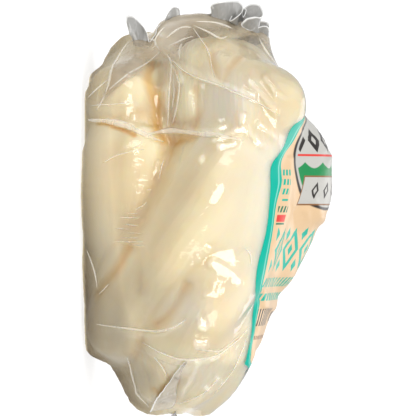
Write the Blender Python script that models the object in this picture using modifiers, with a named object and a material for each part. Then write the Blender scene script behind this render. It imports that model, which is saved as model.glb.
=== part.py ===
"""A clear vacuum pack of rope cheese, lying on its flat back with the printed front up.

The cheese is a rope wound into a lump. Each strand is a chain of balls, and the lump's surface is where a
ray from its heart leaves the last strand. The bag is a taut film over the lump and over the bent line of
its top seal. The ruffled skirt past that seal and the flattened foot seal are thin wavy strips, joined on.

Sizes are millimetres, and the meshes are metres. X runs from the skirt (-X) to the foot (+X), -Y is the
flank with the two long strands, and +Z is the printed front.
"""
import bmesh
import bpy
import numpy as np

MILLIMETRE = 0.001
COLLECTION = "rope_cheese_pack"
PACK_NODE = "sealed_pack"

# The lump: its heart, its solid core, and how far two strands melt into each other where they touch.
HEART = np.array((0.0, 0.0, 28.0))
CORE_CENTRE = np.array((0.0, 0.0, 27.0))
CORE_SEMI_AXES = np.array((39.0, 27.0, 24.0))
STRAND_MELT = 0.6

# The strands of the rope, each a list of (x, y, z, radius) along its middle.
FLANK_STRANDS = [
    [(-15.5, -24.5, 10.5, 10.8), (-7, -26, 9.6, 10.2), (0, -25.5, 8.5, 8.6), (6.5, -23, 7, 6)],
    [(2, -19, 4.5, 6), (10, -22, 5, 6.5), (18, -20, 6, 6.5)],
    [(-15, -24, 36, 11.5), (-5.7, -28, 30, 11.8), (7.2, -29.5, 20.5, 10.6), (20, -27.5, 13, 9.8), (27, -23, 10, 9)],
    [(-9, -20, 44, 8.5), (7.2, -23.5, 37.5, 10.5), (19, -24.5, 33, 11.5), (26.5, -22.5, 29.5, 11)],
]
FOOT_STRANDS = [
    [(24, -17, 7.5, 8), (28, -16, 7.5, 8.4)],
    [(31, -21, 17, 5.2), (40, -15.5, 17, 5.6)],
    [(36.5, -12, 11.8, 7), (41, -6, 13.8, 8.1)],
    [(43.5, -6, 21, 5.5), (39.5, -14, 27, 6), (32, -21, 33, 6)],
    [(43.5, -1, 27, 6), (39, -9, 31.5, 6), (32, -16, 36.5, 6)],
    [(30, 10, 12, 10)],
    [(38, 4, 22, 10)],
]
HEAD_STRANDS = [
    [(-34, -18, 12, 7.5), (-31.5, -22, 9.3, 8.6)],
    [(-37, -13, 18.5, 4.5), (-26, -17, 18, 4.5)],
    [(-30, -21, 26, 5.5)],
    [(-41, -8, 29, 6.2), (-37, -15, 28, 7), (-33, -18.5, 28, 6.5)],
    [(-33, -17, 36, 10), (-31, -17, 42, 10.5), (-29.5, -15, 46.5, 10.5)],
    [(-37, -4, 38, 9.5), (-38, 6, 36, 9.5)],
    [(-26, 5, 9, 10), (-38.5, 3, 11.5, 10)],
    [(-28, -12, 9, 9), (-36, -6, 12, 9)],
]
FRONT_STRANDS = [
    [(-13.5, -1, 45.5, 16.5), (-9, 1, 45.5, 16.5)],
    [(-1, 2, 45, 14.5), (8, -1, 41, 14)],
    [(17, -2, 37, 12), (26, -3, 33.5, 11)],
    [(36, -2, 27, 10.5)],
    [(-28, 8, 42, 12)],
]
FAR_STRANDS = [
    [(-24, 20, 13, 11), (-4, 25, 11, 11.5), (18, 21, 11, 10.5)],
    [(-26, 18, 36, 11), (-10, 25, 31, 12), (8, 27, 26, 12), (26, 20, 22, 11)],
    [(-14, 17, 47, 10), (2, 21, 43, 10), (14, 22, 37, 10), (24, 17, 33, 9.5)],
]
BACK_STRANDS = [
    [(-29, -16, 6, 7.5), (24, -15, 6, 7.5)],
    [(-31, -4, 8, 10.5), (25, -4, 8, 10.5)],
    [(-31, 9, 8, 10.5), (26, 9, 8, 10.5)],
]
STRANDS = FLANK_STRANDS + FOOT_STRANDS + HEAD_STRANDS + FRONT_STRANDS + FAR_STRANDS + BACK_STRANDS

# The two seals, each a list of (x, y, z, width of the strip past the seal) along the seal.
HEAD_SEAL = [
    (-44.5, -10, 12.5, 9.5), (-44, -11.5, 15, 7.5), (-44, -12, 17.5, 3), (-45, -11.5, 20.5, 4),
    (-47, -10, 23.5, 7.5), (-48.5, -8, 27, 3), (-50, -5.5, 31.5, 6), (-50, -4, 36.5, 8),
    (-49, -2.5, 41.5, 7), (-47.5, 2.5, 43.5, 4.5), (-46.5, 9, 41.5, 5.5), (-45.5, 15, 36.5, 7),
    (-43, 19, 29, 5.5), (-41, 21, 21.5, 3),
]
FOOT_SEAL = [
    (35, -19.5, 24.5, 1.5), (41, -14.5, 21.5, 3), (46, -6.5, 18.5, 4.5), (48, 0, 18, 2.5),
    (47, 6, 19, 2), (43, 12, 21, 2.5), (37, 17, 23, 3.5),
]
SEAL_WIRE_RADIUS = 1.5          # the bead that the film is pulled over at the head seal
STRIP_THICKNESS = 0.8           # several layers of film
STRIP_ROOT = 1.6                # how deep a strip starts under the film
STRIP_LEAN = 0.30               # how far a strip fans out, as a share of its width
HEAD_WAVES, HEAD_WAVE_HEIGHT = 8.5, 1.9
FOOT_WAVES, FOOT_WAVE_HEIGHT = 3.5, 0.6

# The film: steps of tightening over the whole lump, and extra steps where it hangs from the head seal.
TIGHTENING_STEPS = 7
HEAD_STEPS = 60
HEAD_FILM_STARTS = -27.0        # the hanging film begins at this x
HEAD_FILM_FULL = -36.0          # and is fully slack from this x on

BACK_OVERCUT = 0.4              # the lump sinks this far below the plane that cuts its flat back
SPHERE_SUBDIVISIONS = 6
KEPT_TRIANGLES = 0.36           # share of the fine sphere's triangles that the finished solid keeps
FILMED_CHEESE = (0.79, 0.67, 0.46, 1.0)


def smooth_route(points, steps=4):
    """Points on the Catmull-Rom curve through a list of points, with steps pieces between each pair."""
    knots = np.array(points, float)
    if len(knots) < 2:
        return knots
    padded = np.vstack([2 * knots[0] - knots[1], knots, 2 * knots[-1] - knots[-2]])
    before, start, end, after = padded[:-3, None], padded[1:-2, None], padded[2:-1, None], padded[3:, None]
    t = (np.arange(steps) / steps)[None, :, None]
    curve = (2 * start + (end - before) * t + (2 * before - 5 * start + 4 * end - after) * t ** 2
             + (3 * start - before - 3 * end + after) * t ** 3) / 2
    return np.vstack([curve.reshape(-1, knots.shape[1]), knots[-1]])


def distance_to_strand(points, strand):
    """Distance from each point to a chain of balls that are joined by tapered rods, negative inside."""
    if len(strand) == 1:
        return np.linalg.norm(points - strand[0, :3], axis=1) - strand[0, 3]
    nearest = np.full(len(points), np.inf)
    for start, end in zip(strand[:-1], strand[1:]):
        along = end[:3] - start[:3]
        t = np.clip((points - start[:3]) @ along / (along @ along), 0, 1)
        gap = np.linalg.norm(points - start[:3] - t[:, None] * along, axis=1)
        nearest = np.minimum(nearest, gap - start[3] - t * (end[3] - start[3]))
    return nearest


def distance_to_core(points):
    """Distance from each point to the ellipsoid in the middle of the lump, close to exact near it."""
    scaled = np.linalg.norm((points - CORE_CENTRE) / CORE_SEMI_AXES, axis=1)
    slope = np.linalg.norm((points - CORE_CENTRE) / CORE_SEMI_AXES ** 2, axis=1)
    return scaled * (scaled - 1) / np.maximum(slope, 1e-9)


def reach_of(directions, strands):
    """Distance from the heart to the outer surface of the melted strands, along each direction."""
    reach = np.full(len(directions), 90.0)
    moving = np.arange(len(directions))
    for _ in range(40):
        points = HEART + directions[moving] * reach[moving, None]
        nearness = np.exp(-distance_to_core(points) / STRAND_MELT)
        for strand in strands:
            nearness += np.exp(-distance_to_strand(points, strand) / STRAND_MELT)
        gap = -STRAND_MELT * np.log(np.maximum(nearness, 1e-30))
        reach[moving] -= 0.95 * gap
        moving = moving[np.abs(gap) > 0.02]
        if not len(moving):
            break
    return reach


def above_back(directions, reach):
    """The reach, shortened where it would pass below the flat back."""
    down = np.maximum(-directions[:, 2], 1e-6)
    return np.minimum(reach, np.where(directions[:, 2] < 0, (HEART[2] + BACK_OVERCUT) / down, np.inf))


def tighten(directions, lump, edges, steps, share):
    """Pulls each point of the film to the mean of its neighbours, by its share, but never into the lump."""
    film = lump.copy()
    ends = np.concatenate([edges, edges[:, ::-1]])
    neighbours = np.bincount(ends[:, 0], minlength=len(film))
    for _ in range(steps):
        points = directions * film[:, None]
        mean = np.stack([np.bincount(ends[:, 0], points[ends[:, 1], axis], len(film)) for axis in range(3)], 1)
        pulled = (mean / neighbours[:, None] * directions).sum(1)
        film = np.maximum(lump, film + share * (pulled - film))
    return film


def make_material():
    """Cream cheese seen through a glossy film."""
    material = bpy.data.materials.new("filmed_cheese")
    material.use_nodes = True
    shader = material.node_tree.nodes["Principled BSDF"]
    shader.inputs["Base Color"].default_value = FILMED_CHEESE
    shader.inputs["Roughness"].default_value = 0.28
    shader.inputs["Metallic"].default_value = 0.0
    return material


def make_bag(collection):
    """The filled bag: an icosphere whose points are moved out to the taut film."""
    sphere = bmesh.new()
    bmesh.ops.create_icosphere(sphere, subdivisions=SPHERE_SUBDIVISIONS, radius=1.0)
    mesh = bpy.data.meshes.new(PACK_NODE)
    sphere.to_mesh(mesh)
    sphere.free()

    directions = np.empty(len(mesh.vertices) * 3)
    mesh.vertices.foreach_get("co", directions)
    directions = directions.reshape(-1, 3)
    directions /= np.linalg.norm(directions, axis=1, keepdims=True)
    edges = np.empty(len(mesh.edges) * 2, dtype=np.int32)
    mesh.edges.foreach_get("vertices", edges)
    edges = edges.reshape(-1, 2)

    strands = [smooth_route(strand) for strand in STRANDS]
    wire = smooth_route(HEAD_SEAL)
    wire[:, 3] = SEAL_WIRE_RADIUS
    lump = above_back(directions, reach_of(directions, strands + [wire]))
    film = tighten(directions, lump, edges, TIGHTENING_STEPS, 1.0)
    x = directions[:, 0] * film
    slack = np.clip((HEAD_FILM_STARTS - x) / (HEAD_FILM_STARTS - HEAD_FILM_FULL), 0, 1)
    film = above_back(directions, tighten(directions, film, edges, HEAD_STEPS, slack))

    points = (HEART + directions * film[:, None]) * MILLIMETRE
    mesh.vertices.foreach_set("co", points.ravel())
    mesh.update()
    bag = bpy.data.objects.new(PACK_NODE, mesh)
    collection.objects.link(bag)
    return bag


def make_strip(collection, name, seal, waves, wave_height):
    """A thin strip past a seal: from under the film outwards, fanned out and waved more towards its edge."""
    along = smooth_route(seal, steps=6)
    root, width = along[:, :3], along[:, 3]
    middle = np.array((0.0, 0.0, root[:, 2].mean()))
    end = np.sign(root[:, 0].mean())
    outwards = (root - middle) * (0, 1, 1)
    outwards /= np.linalg.norm(outwards, axis=1, keepdims=True)
    out = np.array((end, 0.0, 0.0)) + STRIP_LEAN * outwards
    out /= np.linalg.norm(out, axis=1, keepdims=True)
    side = np.cross(np.gradient(root, axis=0), out)
    side /= np.linalg.norm(side, axis=1, keepdims=True)
    turn = 2 * np.pi * waves * np.linspace(0, 1, len(root))
    wave = (wave_height * np.sin(turn))[:, None] * side

    rows = []
    for share in np.linspace(0, 1, 4):
        reach = -STRIP_ROOT + share * (STRIP_ROOT + width)
        rows.append(root + reach[:, None] * out + share ** 1.5 * wave)
    points = np.stack(rows, 1) * MILLIMETRE

    strip = bmesh.new()
    grid = [[strip.verts.new(point) for point in row] for row in points]
    for lower, upper in zip(grid[:-1], grid[1:]):
        for a, b, c, d in zip(lower[:-1], upper[:-1], upper[1:], lower[1:]):
            strip.faces.new((a, b, c, d))
    mesh = bpy.data.meshes.new(name)
    strip.to_mesh(mesh)
    strip.free()
    piece = bpy.data.objects.new(name, mesh)
    collection.objects.link(piece)
    solidify = piece.modifiers.new("film layers", "SOLIDIFY")
    solidify.thickness = STRIP_THICKNESS * MILLIMETRE
    solidify.offset = 0.0
    triangles = piece.modifiers.new("triangles", "TRIANGULATE")
    triangles.min_vertices = 4
    return piece


def make_back_cutter(collection):
    """A slab whose top face is the plane of the flat back."""
    bpy.ops.mesh.primitive_cube_add(size=0.2, location=(0, 0, -0.1))
    cutter = bpy.context.object
    cutter.name = "back_cutter"
    for owner in list(cutter.users_collection):
        owner.objects.unlink(cutter)
    collection.objects.link(cutter)
    cutter.display_type = "WIRE"
    cutter.hide_render = True
    return cutter


def finish_mesh(piece):
    """Applies a piece's modifiers."""
    evaluated = piece.evaluated_get(bpy.context.evaluated_depsgraph_get())
    mesh = bpy.data.meshes.new_from_object(evaluated)
    piece.modifiers.clear()
    piece.data = mesh


def main():
    for leftover in list(bpy.data.objects):
        bpy.data.objects.remove(leftover, do_unlink=True)
    parts = bpy.data.collections.new(COLLECTION)
    strips = bpy.data.collections.new("seal_strips")
    cutters = bpy.data.collections.new("cutters")
    for collection in (parts, strips, cutters):
        bpy.context.scene.collection.children.link(collection)

    bag = make_bag(parts)
    make_strip(strips, "head_skirt", HEAD_SEAL, HEAD_WAVES, HEAD_WAVE_HEIGHT)
    make_strip(strips, "foot_fin", FOOT_SEAL, FOOT_WAVES, FOOT_WAVE_HEIGHT)
    cutter = make_back_cutter(cutters)

    thinned = bag.modifiers.new("fewer triangles", "DECIMATE")
    thinned.ratio = KEPT_TRIANGLES
    joined = bag.modifiers.new("seal strips", "BOOLEAN")
    joined.operation = "UNION"
    joined.operand_type = "COLLECTION"
    joined.collection = strips
    flattened = bag.modifiers.new("flat back", "BOOLEAN")
    flattened.operation = "DIFFERENCE"
    flattened.object = cutter

    finish_mesh(bag)
    for strip in list(strips.objects):
        bpy.data.objects.remove(strip, do_unlink=True)
    bpy.data.collections.remove(strips)
    bag.data.materials.clear()
    bag.data.materials.append(make_material())
    bag.data.shade_smooth()
    bag.data.set_sharp_from_angle(angle=np.radians(50))


main()
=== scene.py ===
import math

import bpy
import numpy as np
from mathutils import Matrix, Vector


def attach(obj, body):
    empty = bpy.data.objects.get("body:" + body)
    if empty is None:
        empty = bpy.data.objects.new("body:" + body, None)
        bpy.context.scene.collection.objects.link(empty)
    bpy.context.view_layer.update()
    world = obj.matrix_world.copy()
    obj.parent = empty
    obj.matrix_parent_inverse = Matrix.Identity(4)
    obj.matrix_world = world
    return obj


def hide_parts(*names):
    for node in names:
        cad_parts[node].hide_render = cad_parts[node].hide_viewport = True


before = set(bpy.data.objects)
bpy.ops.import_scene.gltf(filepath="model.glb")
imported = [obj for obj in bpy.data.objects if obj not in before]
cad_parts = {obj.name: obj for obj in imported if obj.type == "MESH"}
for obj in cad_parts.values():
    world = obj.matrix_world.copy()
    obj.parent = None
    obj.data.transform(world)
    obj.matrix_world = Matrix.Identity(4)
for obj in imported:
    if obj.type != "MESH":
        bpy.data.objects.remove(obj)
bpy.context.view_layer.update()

# ---------------------------------------------------------------------------------------------------------
# The rope of cheese
# Soft white cheese, pulled into a rope and wound into a lump by hand. Each strand keeps its fine fibres,
# and the vacuum has pressed the strands flat against each other and against the table.
# ---------------------------------------------------------------------------------------------------------
MILLIMETRE = 0.001
HEART = np.array((0.0, 0.0, 28.0))          # the rays that find the surface leave from here, in millimetres
CORE_CENTRE = np.array((0.0, 0.0, 27.0))
CORE_SEMI_AXES = np.array((39.0, 27.0, 24.0))
STRAND_MELT = 0.42                          # how far two strands melt into each other where they touch
BACK_OVERCUT = 0.05                         # the pressed back lies this far above the table

# The strands by where they lie, each a list of (x, y, z, radius), with the depth of their fibres.
FIBRED_STRANDS = [
    (0.05, [
        [(-15.5, -24.5, 10.5, 10.8), (-7, -26, 9.6, 10.2), (0, -25.5, 8.5, 8.6), (6.5, -23, 7, 6)],
        [(2, -19, 4.5, 6), (10, -22, 5, 6.5), (18, -20, 6, 6.5)],
        [(-15, -24, 36, 11.5), (-5.7, -28, 30, 11.8), (7.2, -29, 20.5, 10.6), (18, -26, 12.5, 9.4),
         (26, -22, 9.6, 8.8)],
        [(11, -24, 36.5, 10), (19, -26, 30.2, 11.4), (26.5, -23.3, 25.9, 11)],
        [(-16, -22, 42, 8.8), (-9, -24.5, 38.5, 9.8), (2, -25.5, 35.5, 9.5)],
        [(-9, -20, 44, 8.5), (3, -21.5, 41, 9), (12, -22.5, 38.5, 8.5)],
    ]),
    (0.22, [
        [(24, -17, 7.5, 8), (27.5, -16, 7.7, 8.4)],
        [(20, -18, 4.4, 4.8), (30.2, -16, 4.3, 4.6)],
        [(31, -21, 17, 5.2), (40, -15.5, 18, 5.6)],
        [(36.0, -12, 13.6, 6.8), (41.5, -6, 17.2, 8.1)],
        [(43.8, -6, 22.5, 5.5), (40, -14, 28, 6), (32, -21, 33.5, 6)],
        [(44, -1, 28, 6), (40, -9, 32.5, 6), (32, -16, 37, 6)],
        [(30, 10, 14, 10)],
        [(38, 4, 22, 10)],
    ]),
    (0.16, [
        [(-34, -18, 12, 7.5), (-31.5, -22, 9.3, 8.6)],
        [(-37, -13, 18.5, 4.5), (-26, -17, 18, 4.5)],
        [(-30, -21.3, 27, 6.8)],
        [(-41, -8, 29, 6.2), (-37, -15, 28, 7), (-33, -18.5, 28, 6.5)],
        [(-33, -17, 36, 10), (-31, -17, 42, 10.5), (-29.5, -15, 45.6, 10.5)],
        [(-37, -4, 38, 9.5), (-38, 6, 36, 9.5)],
        [(-26, 5, 9, 10), (-39.3, 3, 13, 10)],
        [(-28, -12, 9, 9), (-36, -6, 12, 9)],
        [(-30, -18.7, 38.8, 10.4), (-18, -21.5, 39, 10.5)],
        [(-39.5, -8, 33.5, 8.2), (-36, -8, 40, 8.2)],
    ]),
    (0.08, [
        [(-13.5, -1, 45.5, 16.5), (-9, 1, 45.5, 16.5)],
        [(-1, 2, 43.6, 14.5), (7, -1, 40.2, 14)],
        [(18, -2, 35.4, 12), (26, -3, 33.8, 11.2)],
        [(36, -2, 27.4, 10.6)],
        [(16, -14.5, 37.5, 9.5), (24, -13.5, 35.6, 9.5), (32, -11, 33.6, 8.8)],
        [(-28, 8, 42, 12)],
        [(-24, 20, 13, 11), (-4, 25, 11, 11.5), (18, 21, 11, 10.5)],
        [(-26, 18, 36, 11), (-10, 25, 31, 12), (8, 27, 26, 12), (26, 20, 22, 11)],
        [(-14, 17, 47, 10), (2, 21, 43, 10), (14, 22, 37, 10), (24, 17, 33, 9.5)],
    ]),
    (0.05, [
        [(-29, -16, 6, 7.5), (24, -15, 6, 7.5)],
        [(-31, -4, 8, 10.5), (25, -4, 8, 10.5)],
        [(-31, 9, 8, 10.5), (26, 9, 8, 10.5)],
    ]),
]
FIBRE_PITCH = 2.1               # millimetres round a strand from one coarse fibre to the next
FLANK_FROM, FLANK_SOFT = 0.1, 0.25          # a ray's sideways part where a flank starts, and its soft edge
PRESSING_STEPS = 320            # how far the vacuum has flattened the strands against each other
CREASE_LEFT = 0.26              # the share of a crease's depth that the pressing has left
FULL_CREASE = 4.5               # a crease that was this deep in millimetres has its full painted golden shade

# Narrow hollows of the shown flank: (depth, half width, share of painted amber shade, points as (x, z)), in
# millimetres.
HOLLOWS = [
    (0.9, 1.1, 0.9, [(-40.2, 16.6), (-37.3, 16.4), (-33.9, 17.5), (-29.8, 18.5), (-25.7, 18.8),
                     (-23.7, 19)]),
    (0.4, 0.9, 0.4, [(-39, 15.5), (-40.2, 18), (-40.2, 20.7)]),
    (0.9, 1.1, 0.45, [(-33.8, 29.1), (-29.8, 29.6), (-26.4, 29.6), (-24.3, 28.5)]),
    (0.5, 0.8, 0.3, [(-34.2, 24.6), (-29.1, 24), (-25.8, 23.8)]),
    (0.6, 0.6, 0.9, [(-25.2, 4.2), (-25, 6.7), (-24.1, 8.8), (-23.3, 11.3), (-22.1, 13.7)]),
    (0.8, 1.2, 0.8, [(-21.6, 20), (-20.8, 22.6), (-21, 25.4), (-21.8, 28.7)]),
    (0.9, 1.0, 0.5, [(-42.9, 32.3), (-39.3, 33.7), (-36.2, 35.6), (-39.3, 37.5), (-41.8, 39.6)]),
    (0.3, 1.0, 0.5, [(-45.4, 30.6), (-46.9, 32.5), (-46.9, 35.2)]),
    (1.2, 2.1, 0.32, [(-18.1, 23), (-14.5, 21.9), (-9.6, 19.9), (-3, 17.4), (2.3, 14.8), (5.8, 13)]),
    (1.1, 1.3, 0.60, [(6.9, 12.3), (12, 9.4), (15.5, 6.5), (18.2, 4.6)]),
    (1.2, 1.4, 0.5, [(16.2, 27.3), (18.4, 26.3), (21.3, 24.8), (24.4, 22.2), (26.2, 19.5)]),
    (0.6, 1.3, 0.35, [(30.2, 15.2), (34.3, 13.1), (37.1, 11.8)]),
    (0.4, 0.8, 0.7, [(42.6, 17.8), (43.5, 19.1), (41.7, 20.1)]),
    (0.9, 1.7, 0.20, [(7.6, 15.4), (12, 15.8), (17.2, 15.3)]),
]
# The far flank's own, which the picture doesn't show.
FAR_HOLLOWS = [
    (1.7, 2.2, 0.10, [(-38, 14), (-28, 20), (-14, 22.5), (2, 19), (16, 13.5), (27, 8)]),
    (1.5, 2.1, 0.10, [(-31, 45), (-19, 37), (-4, 33.5), (10, 30.5), (24, 25), (35, 20)]),
    (0.9, 2.6, 0.12, [(-20, 22), (-17, 28), (-18, 34.5)]),
    (1.0, 1.5, 0.20, [(14, 15), (20, 21), (22, 26)]),
    (1.2, 1.6, 0.15, [(-43, 25), (-35, 30), (-28, 37)]),
    (0.8, 1.2, 0.25, [(-8, 6), (2, 9), (12, 8)]),
]
BOX_CELLS = (190, 76, 124)      # grid cells along X, Y and Z of the box that is blown up into the lump
BOX_SHAPE = np.array((1.35, 1.0, 0.80))
OUTSIDE = 90.0                  # millimetres from the heart: outside of everything
WALK_STEPS = 40                 # the most steps of the walk in from there,
WALK_SHARE = 0.95               # each by this share of the gap that is left
ARRIVED = 0.01                  # and it ends at this gap, in millimetres


def smooth_route(points, steps=4):
    """Points on the Catmull-Rom curve through a list: a cubic between each pair, in steps equal shares."""
    knots = np.array(points, float)
    if len(knots) < 2:
        return knots
    padded = np.vstack([2 * knots[0] - knots[1], knots, 2 * knots[-1] - knots[-2]])
    before, start, end, after = padded[:-3, None], padded[1:-2, None], padded[2:-1, None], padded[3:, None]
    t = (np.arange(steps) / steps)[None, :, None]
    curve = (2 * start + (end - before) * t + (2 * before - 5 * start + 4 * end - after) * t ** 2
             + (3 * start - before - 3 * end + after) * t ** 3) / 2
    return np.vstack([curve.reshape(-1, knots.shape[1]), knots[-1]])


def blown_box(cells, shape):
    """Directions and outward quads of a box's grid: each side's grid is spaced evenly by angle, scaled by
    the box's shape and pushed out to a sphere, and points that two sides share are merged."""
    lines = [np.tan((np.arange(n + 1) / n * 2 - 1) * np.pi / 4) for n in cells]
    points, faces, start = [], [], 0
    for axis in range(3):
        first, second = (axis + 1) % 3, (axis + 2) % 3
        u, v = np.meshgrid(lines[first], lines[second], indexing="ij")
        rows, columns = u.shape
        corner = (np.arange(rows - 1)[:, None] * columns + np.arange(columns - 1)).ravel()
        quads = np.stack([corner, corner + columns, corner + columns + 1, corner + 1], 1)
        for end in (1, -1):
            side = np.empty((u.size, 3))
            side[:, axis], side[:, first], side[:, second] = end, u.ravel(), v.ravel()
            points.append(side)
            faces.append((quads if end > 0 else quads[:, ::-1]) + start)
            start += u.size
    points, faces = np.concatenate(points), np.concatenate(faces)
    _, kept, place = np.unique(np.round(points * 1e6).astype(np.int64), axis=0,
                               return_index=True, return_inverse=True)
    points = points[kept] * shape
    return points / np.linalg.norm(points, axis=1, keepdims=True), place.reshape(-1)[faces]


def distance_to_strand(points, strand):
    """Distance from each point to a chain of balls that are joined by tapered rods, negative inside."""
    if len(strand) == 1:
        return np.linalg.norm(points - strand[0, :3], axis=1) - strand[0, 3]
    nearest = np.full(len(points), np.inf)
    for start, end in zip(strand[:-1], strand[1:]):
        along = end[:3] - start[:3]
        t = np.clip((points - start[:3]) @ along / (along @ along), 0, 1)
        gap = np.linalg.norm(points - start[:3] - t[:, None] * along, axis=1)
        nearest = np.minimum(nearest, gap - start[3] - t * (end[3] - start[3]))
    return nearest


def reach_of(directions, strands):
    """Distance from the heart to the surface of the melted strands and core, along each direction: the
    point walks in from outside by its distance to the nearest strand, where near ones count together."""
    reach = np.full(len(directions), OUTSIDE)
    moving = np.arange(len(directions))
    for _ in range(WALK_STEPS):
        points = HEART + directions[moving] * reach[moving, None]
        scaled = np.linalg.norm((points - CORE_CENTRE) / CORE_SEMI_AXES, axis=1)
        slope = np.linalg.norm((points - CORE_CENTRE) / CORE_SEMI_AXES ** 2, axis=1)
        nearness = np.exp(-scaled * (scaled - 1) / np.maximum(slope, 1e-9) / STRAND_MELT)
        for strand in strands:
            nearness += np.exp(-distance_to_strand(points, strand) / STRAND_MELT)
        gap = -STRAND_MELT * np.log(np.maximum(nearness, 1e-30))
        reach[moving] -= WALK_SHARE * gap
        moving = moving[np.abs(gap) > ARRIVED]
        if not len(moving):
            break
    return reach


def above_back(directions, reach):
    """The reach, shortened where it would pass below the pressed back."""
    down = np.maximum(-directions[:, 2], 1e-6)
    return np.minimum(reach, np.where(directions[:, 2] < 0, (HEART[2] - BACK_OVERCUT) / down, np.inf))


def distance_to_route(across, up, route):
    """Distance in a plane from each point to an open chain of straight runs."""
    nearest = np.full(len(across), np.inf)
    for (x0, z0), (x1, z1) in zip(route[:-1], route[1:]):
        run_x, run_z = x1 - x0, z1 - z0
        t = np.clip(((across - x0) * run_x + (up - z0) * run_z) / (run_x ** 2 + run_z ** 2), 0, 1)
        nearest = np.minimum(nearest, np.hypot(across - x0 - t * run_x, up - z0 - t * run_z))
    return nearest


def both_flanks(route):
    """A line of the shown flank with that flank's share of each point, and the far flank's own version of
    it, which two slow waves bend."""
    bent = [(x + 2.4 * math.sin(z / 7 + 1), z * 0.97 + 2.2 * math.sin(x / 8)) for x, z in route]
    return (near_side, smooth_route(route)), (far_side, smooth_route(bent))


def pull_tight(directions, faces, under, steps, share=None):
    """A film over a shape: in each step every point is pulled to the mean of its neighbours, by its share
    where shares are given, and never into what lies under it."""
    moving = np.arange(len(under)) if share is None else np.flatnonzero(share > 0)
    pull = 1.0 if share is None else share[moving]
    edges = np.concatenate([faces[:, [i, (i + 1) % 4]] for i in range(4)])
    wanted = np.zeros(len(under), bool)
    wanted[moving] = True
    edges = edges[wanted[edges[:, 0]]]
    edges = edges[np.argsort(edges[:, 0], kind="stable")]
    starts = np.searchsorted(edges[:, 0], moving)
    neighbours = np.diff(np.append(starts, len(edges)))
    film = under.copy()
    points = directions * film[:, None]
    rays = directions[moving]
    for _ in range(steps):
        mean = np.add.reduceat(points[edges[:, 1]], starts, axis=0) / neighbours[:, None]
        film[moving] = np.maximum(under[moving],
                                  film[moving] + pull * ((mean * rays).sum(1) - film[moving]))
        points[moving] = rays * film[moving, None]
    return film


def strand_grain(points):
    """For each point, on its nearest strand: millimetres along it, millimetres round it from the side that
    faces away from the heart, and the depth of its fibres."""
    nearest = np.full(len(points), np.inf)
    along_it, round_it, depth = np.zeros((3, len(points)))
    travelled = 0.0
    for fibre_depth, strands in FIBRED_STRANDS:
        for strand in strands:
            route = smooth_route(strand)
            if len(route) == 1:
                route = np.vstack([route[0] - (6, 0, 0, 0), route[0] + (6, 0, 0, 0)])
            for start, end in zip(route[:-1], route[1:]):
                axis = end[:3] - start[:3]
                length = np.linalg.norm(axis)
                t = np.clip((points - start[:3]) @ axis / length ** 2, 0, 1)
                middle = start[:3] + t[:, None] * axis
                arm = points - middle
                far = np.linalg.norm(arm, axis=1)
                gap = far - start[3] - t * (end[3] - start[3])
                outward = middle - HEART
                outward -= (outward @ axis / length ** 2)[:, None] * axis
                sideways = np.cross(axis / length, outward)
                turn = np.arctan2((arm * sideways).sum(1), (arm * outward).sum(1))
                hit = gap < nearest
                nearest[hit] = gap[hit]
                along_it[hit] = (travelled + t * length)[hit]
                round_it[hit] = (turn * far)[hit]
                depth[hit] = fibre_depth
                travelled += length
    return along_it, round_it, depth


def fibre_relief(along, around):
    """Fibres of a strand, from about -1.5 to 1.5: a coarse wave and a finer one run round it, and slow
    waves along it bend the coarse one and let it come and go."""
    turn = 2 * np.pi * around / FIBRE_PITCH
    bend = 0.9 * np.sin(along / 5.3) + 0.5 * np.sin(along / 2.1)
    strength = 0.6 + 0.4 * np.sin(along / 7.7 + around / 3.1)
    return np.sin(turn + bend) * strength + 0.5 * np.sin(2.3 * turn + along / 3.7)


def spotted(points, spots):
    """For each point, the most that round spots of both flanks give it: a spot's amount, times a bell curve
    of the distance to its middle in x and z."""
    most = np.zeros(len(points))
    for spot_x, spot_z, radius, amount in spots:
        gap = np.hypot(points[:, 0] - spot_x, points[:, 2] - spot_z)
        most = np.maximum(most, amount * (near_side + far_side) * np.exp(-(gap / radius) ** 2))
    return most


def make_mesh(name, points, faces, corner_maps=None, point_values=None):
    """A smooth-shaded object from points in millimetres, faces, UV maps given for each point, and named
    values for each point."""
    mesh = bpy.data.meshes.new(name)
    mesh.from_pydata((points * MILLIMETRE).tolist(), [], faces.tolist())
    corners = np.empty(len(mesh.loops), dtype=np.int32)
    mesh.loops.foreach_get("vertex_index", corners)
    for map_name, (u, v) in (corner_maps or {}).items():
        layer = mesh.uv_layers.new(name=map_name)
        layer.uv.foreach_set("vector", np.stack([u, v], 1)[corners].ravel())
    for value_name, values in (point_values or {}).items():
        attribute = mesh.attributes.new(value_name, "FLOAT", "POINT")
        attribute.data.foreach_set("value", values.astype(np.float32))
    mesh.shade_smooth()
    piece = bpy.data.objects.new(name, mesh)
    bpy.context.scene.collection.objects.link(piece)
    return piece


class Wire:
    """One output in a material, with the operators that add its Math nodes."""

    def __init__(self, finish, socket):
        self.finish, self.socket = finish, socket

    def __add__(self, other):
        return self.finish.math("ADD", self, other)

    def __sub__(self, other):
        return self.finish.math("SUBTRACT", self, other)

    def __rsub__(self, other):
        return self.finish.math("SUBTRACT", other, self)

    def __mul__(self, other):
        return self.finish.math("MULTIPLY", self, other)

    def __truediv__(self, other):
        return self.finish.math("DIVIDE", self, other)

    def __pow__(self, other):
        return self.finish.math("POWER", self, other)

    def __abs__(self):
        return self.finish.math("ABSOLUTE", self)

    __radd__, __rmul__ = __add__, __mul__

    def rise(self, low, high):
        """0 below low, 1 above high, and a smooth step between them; it falls if low is above high."""
        return self.finish.add("ShaderNodeMapRange", {"interpolation_type": "SMOOTHSTEP"},
                               {"Value": self, "From Min": low, "From Max": high})


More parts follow.
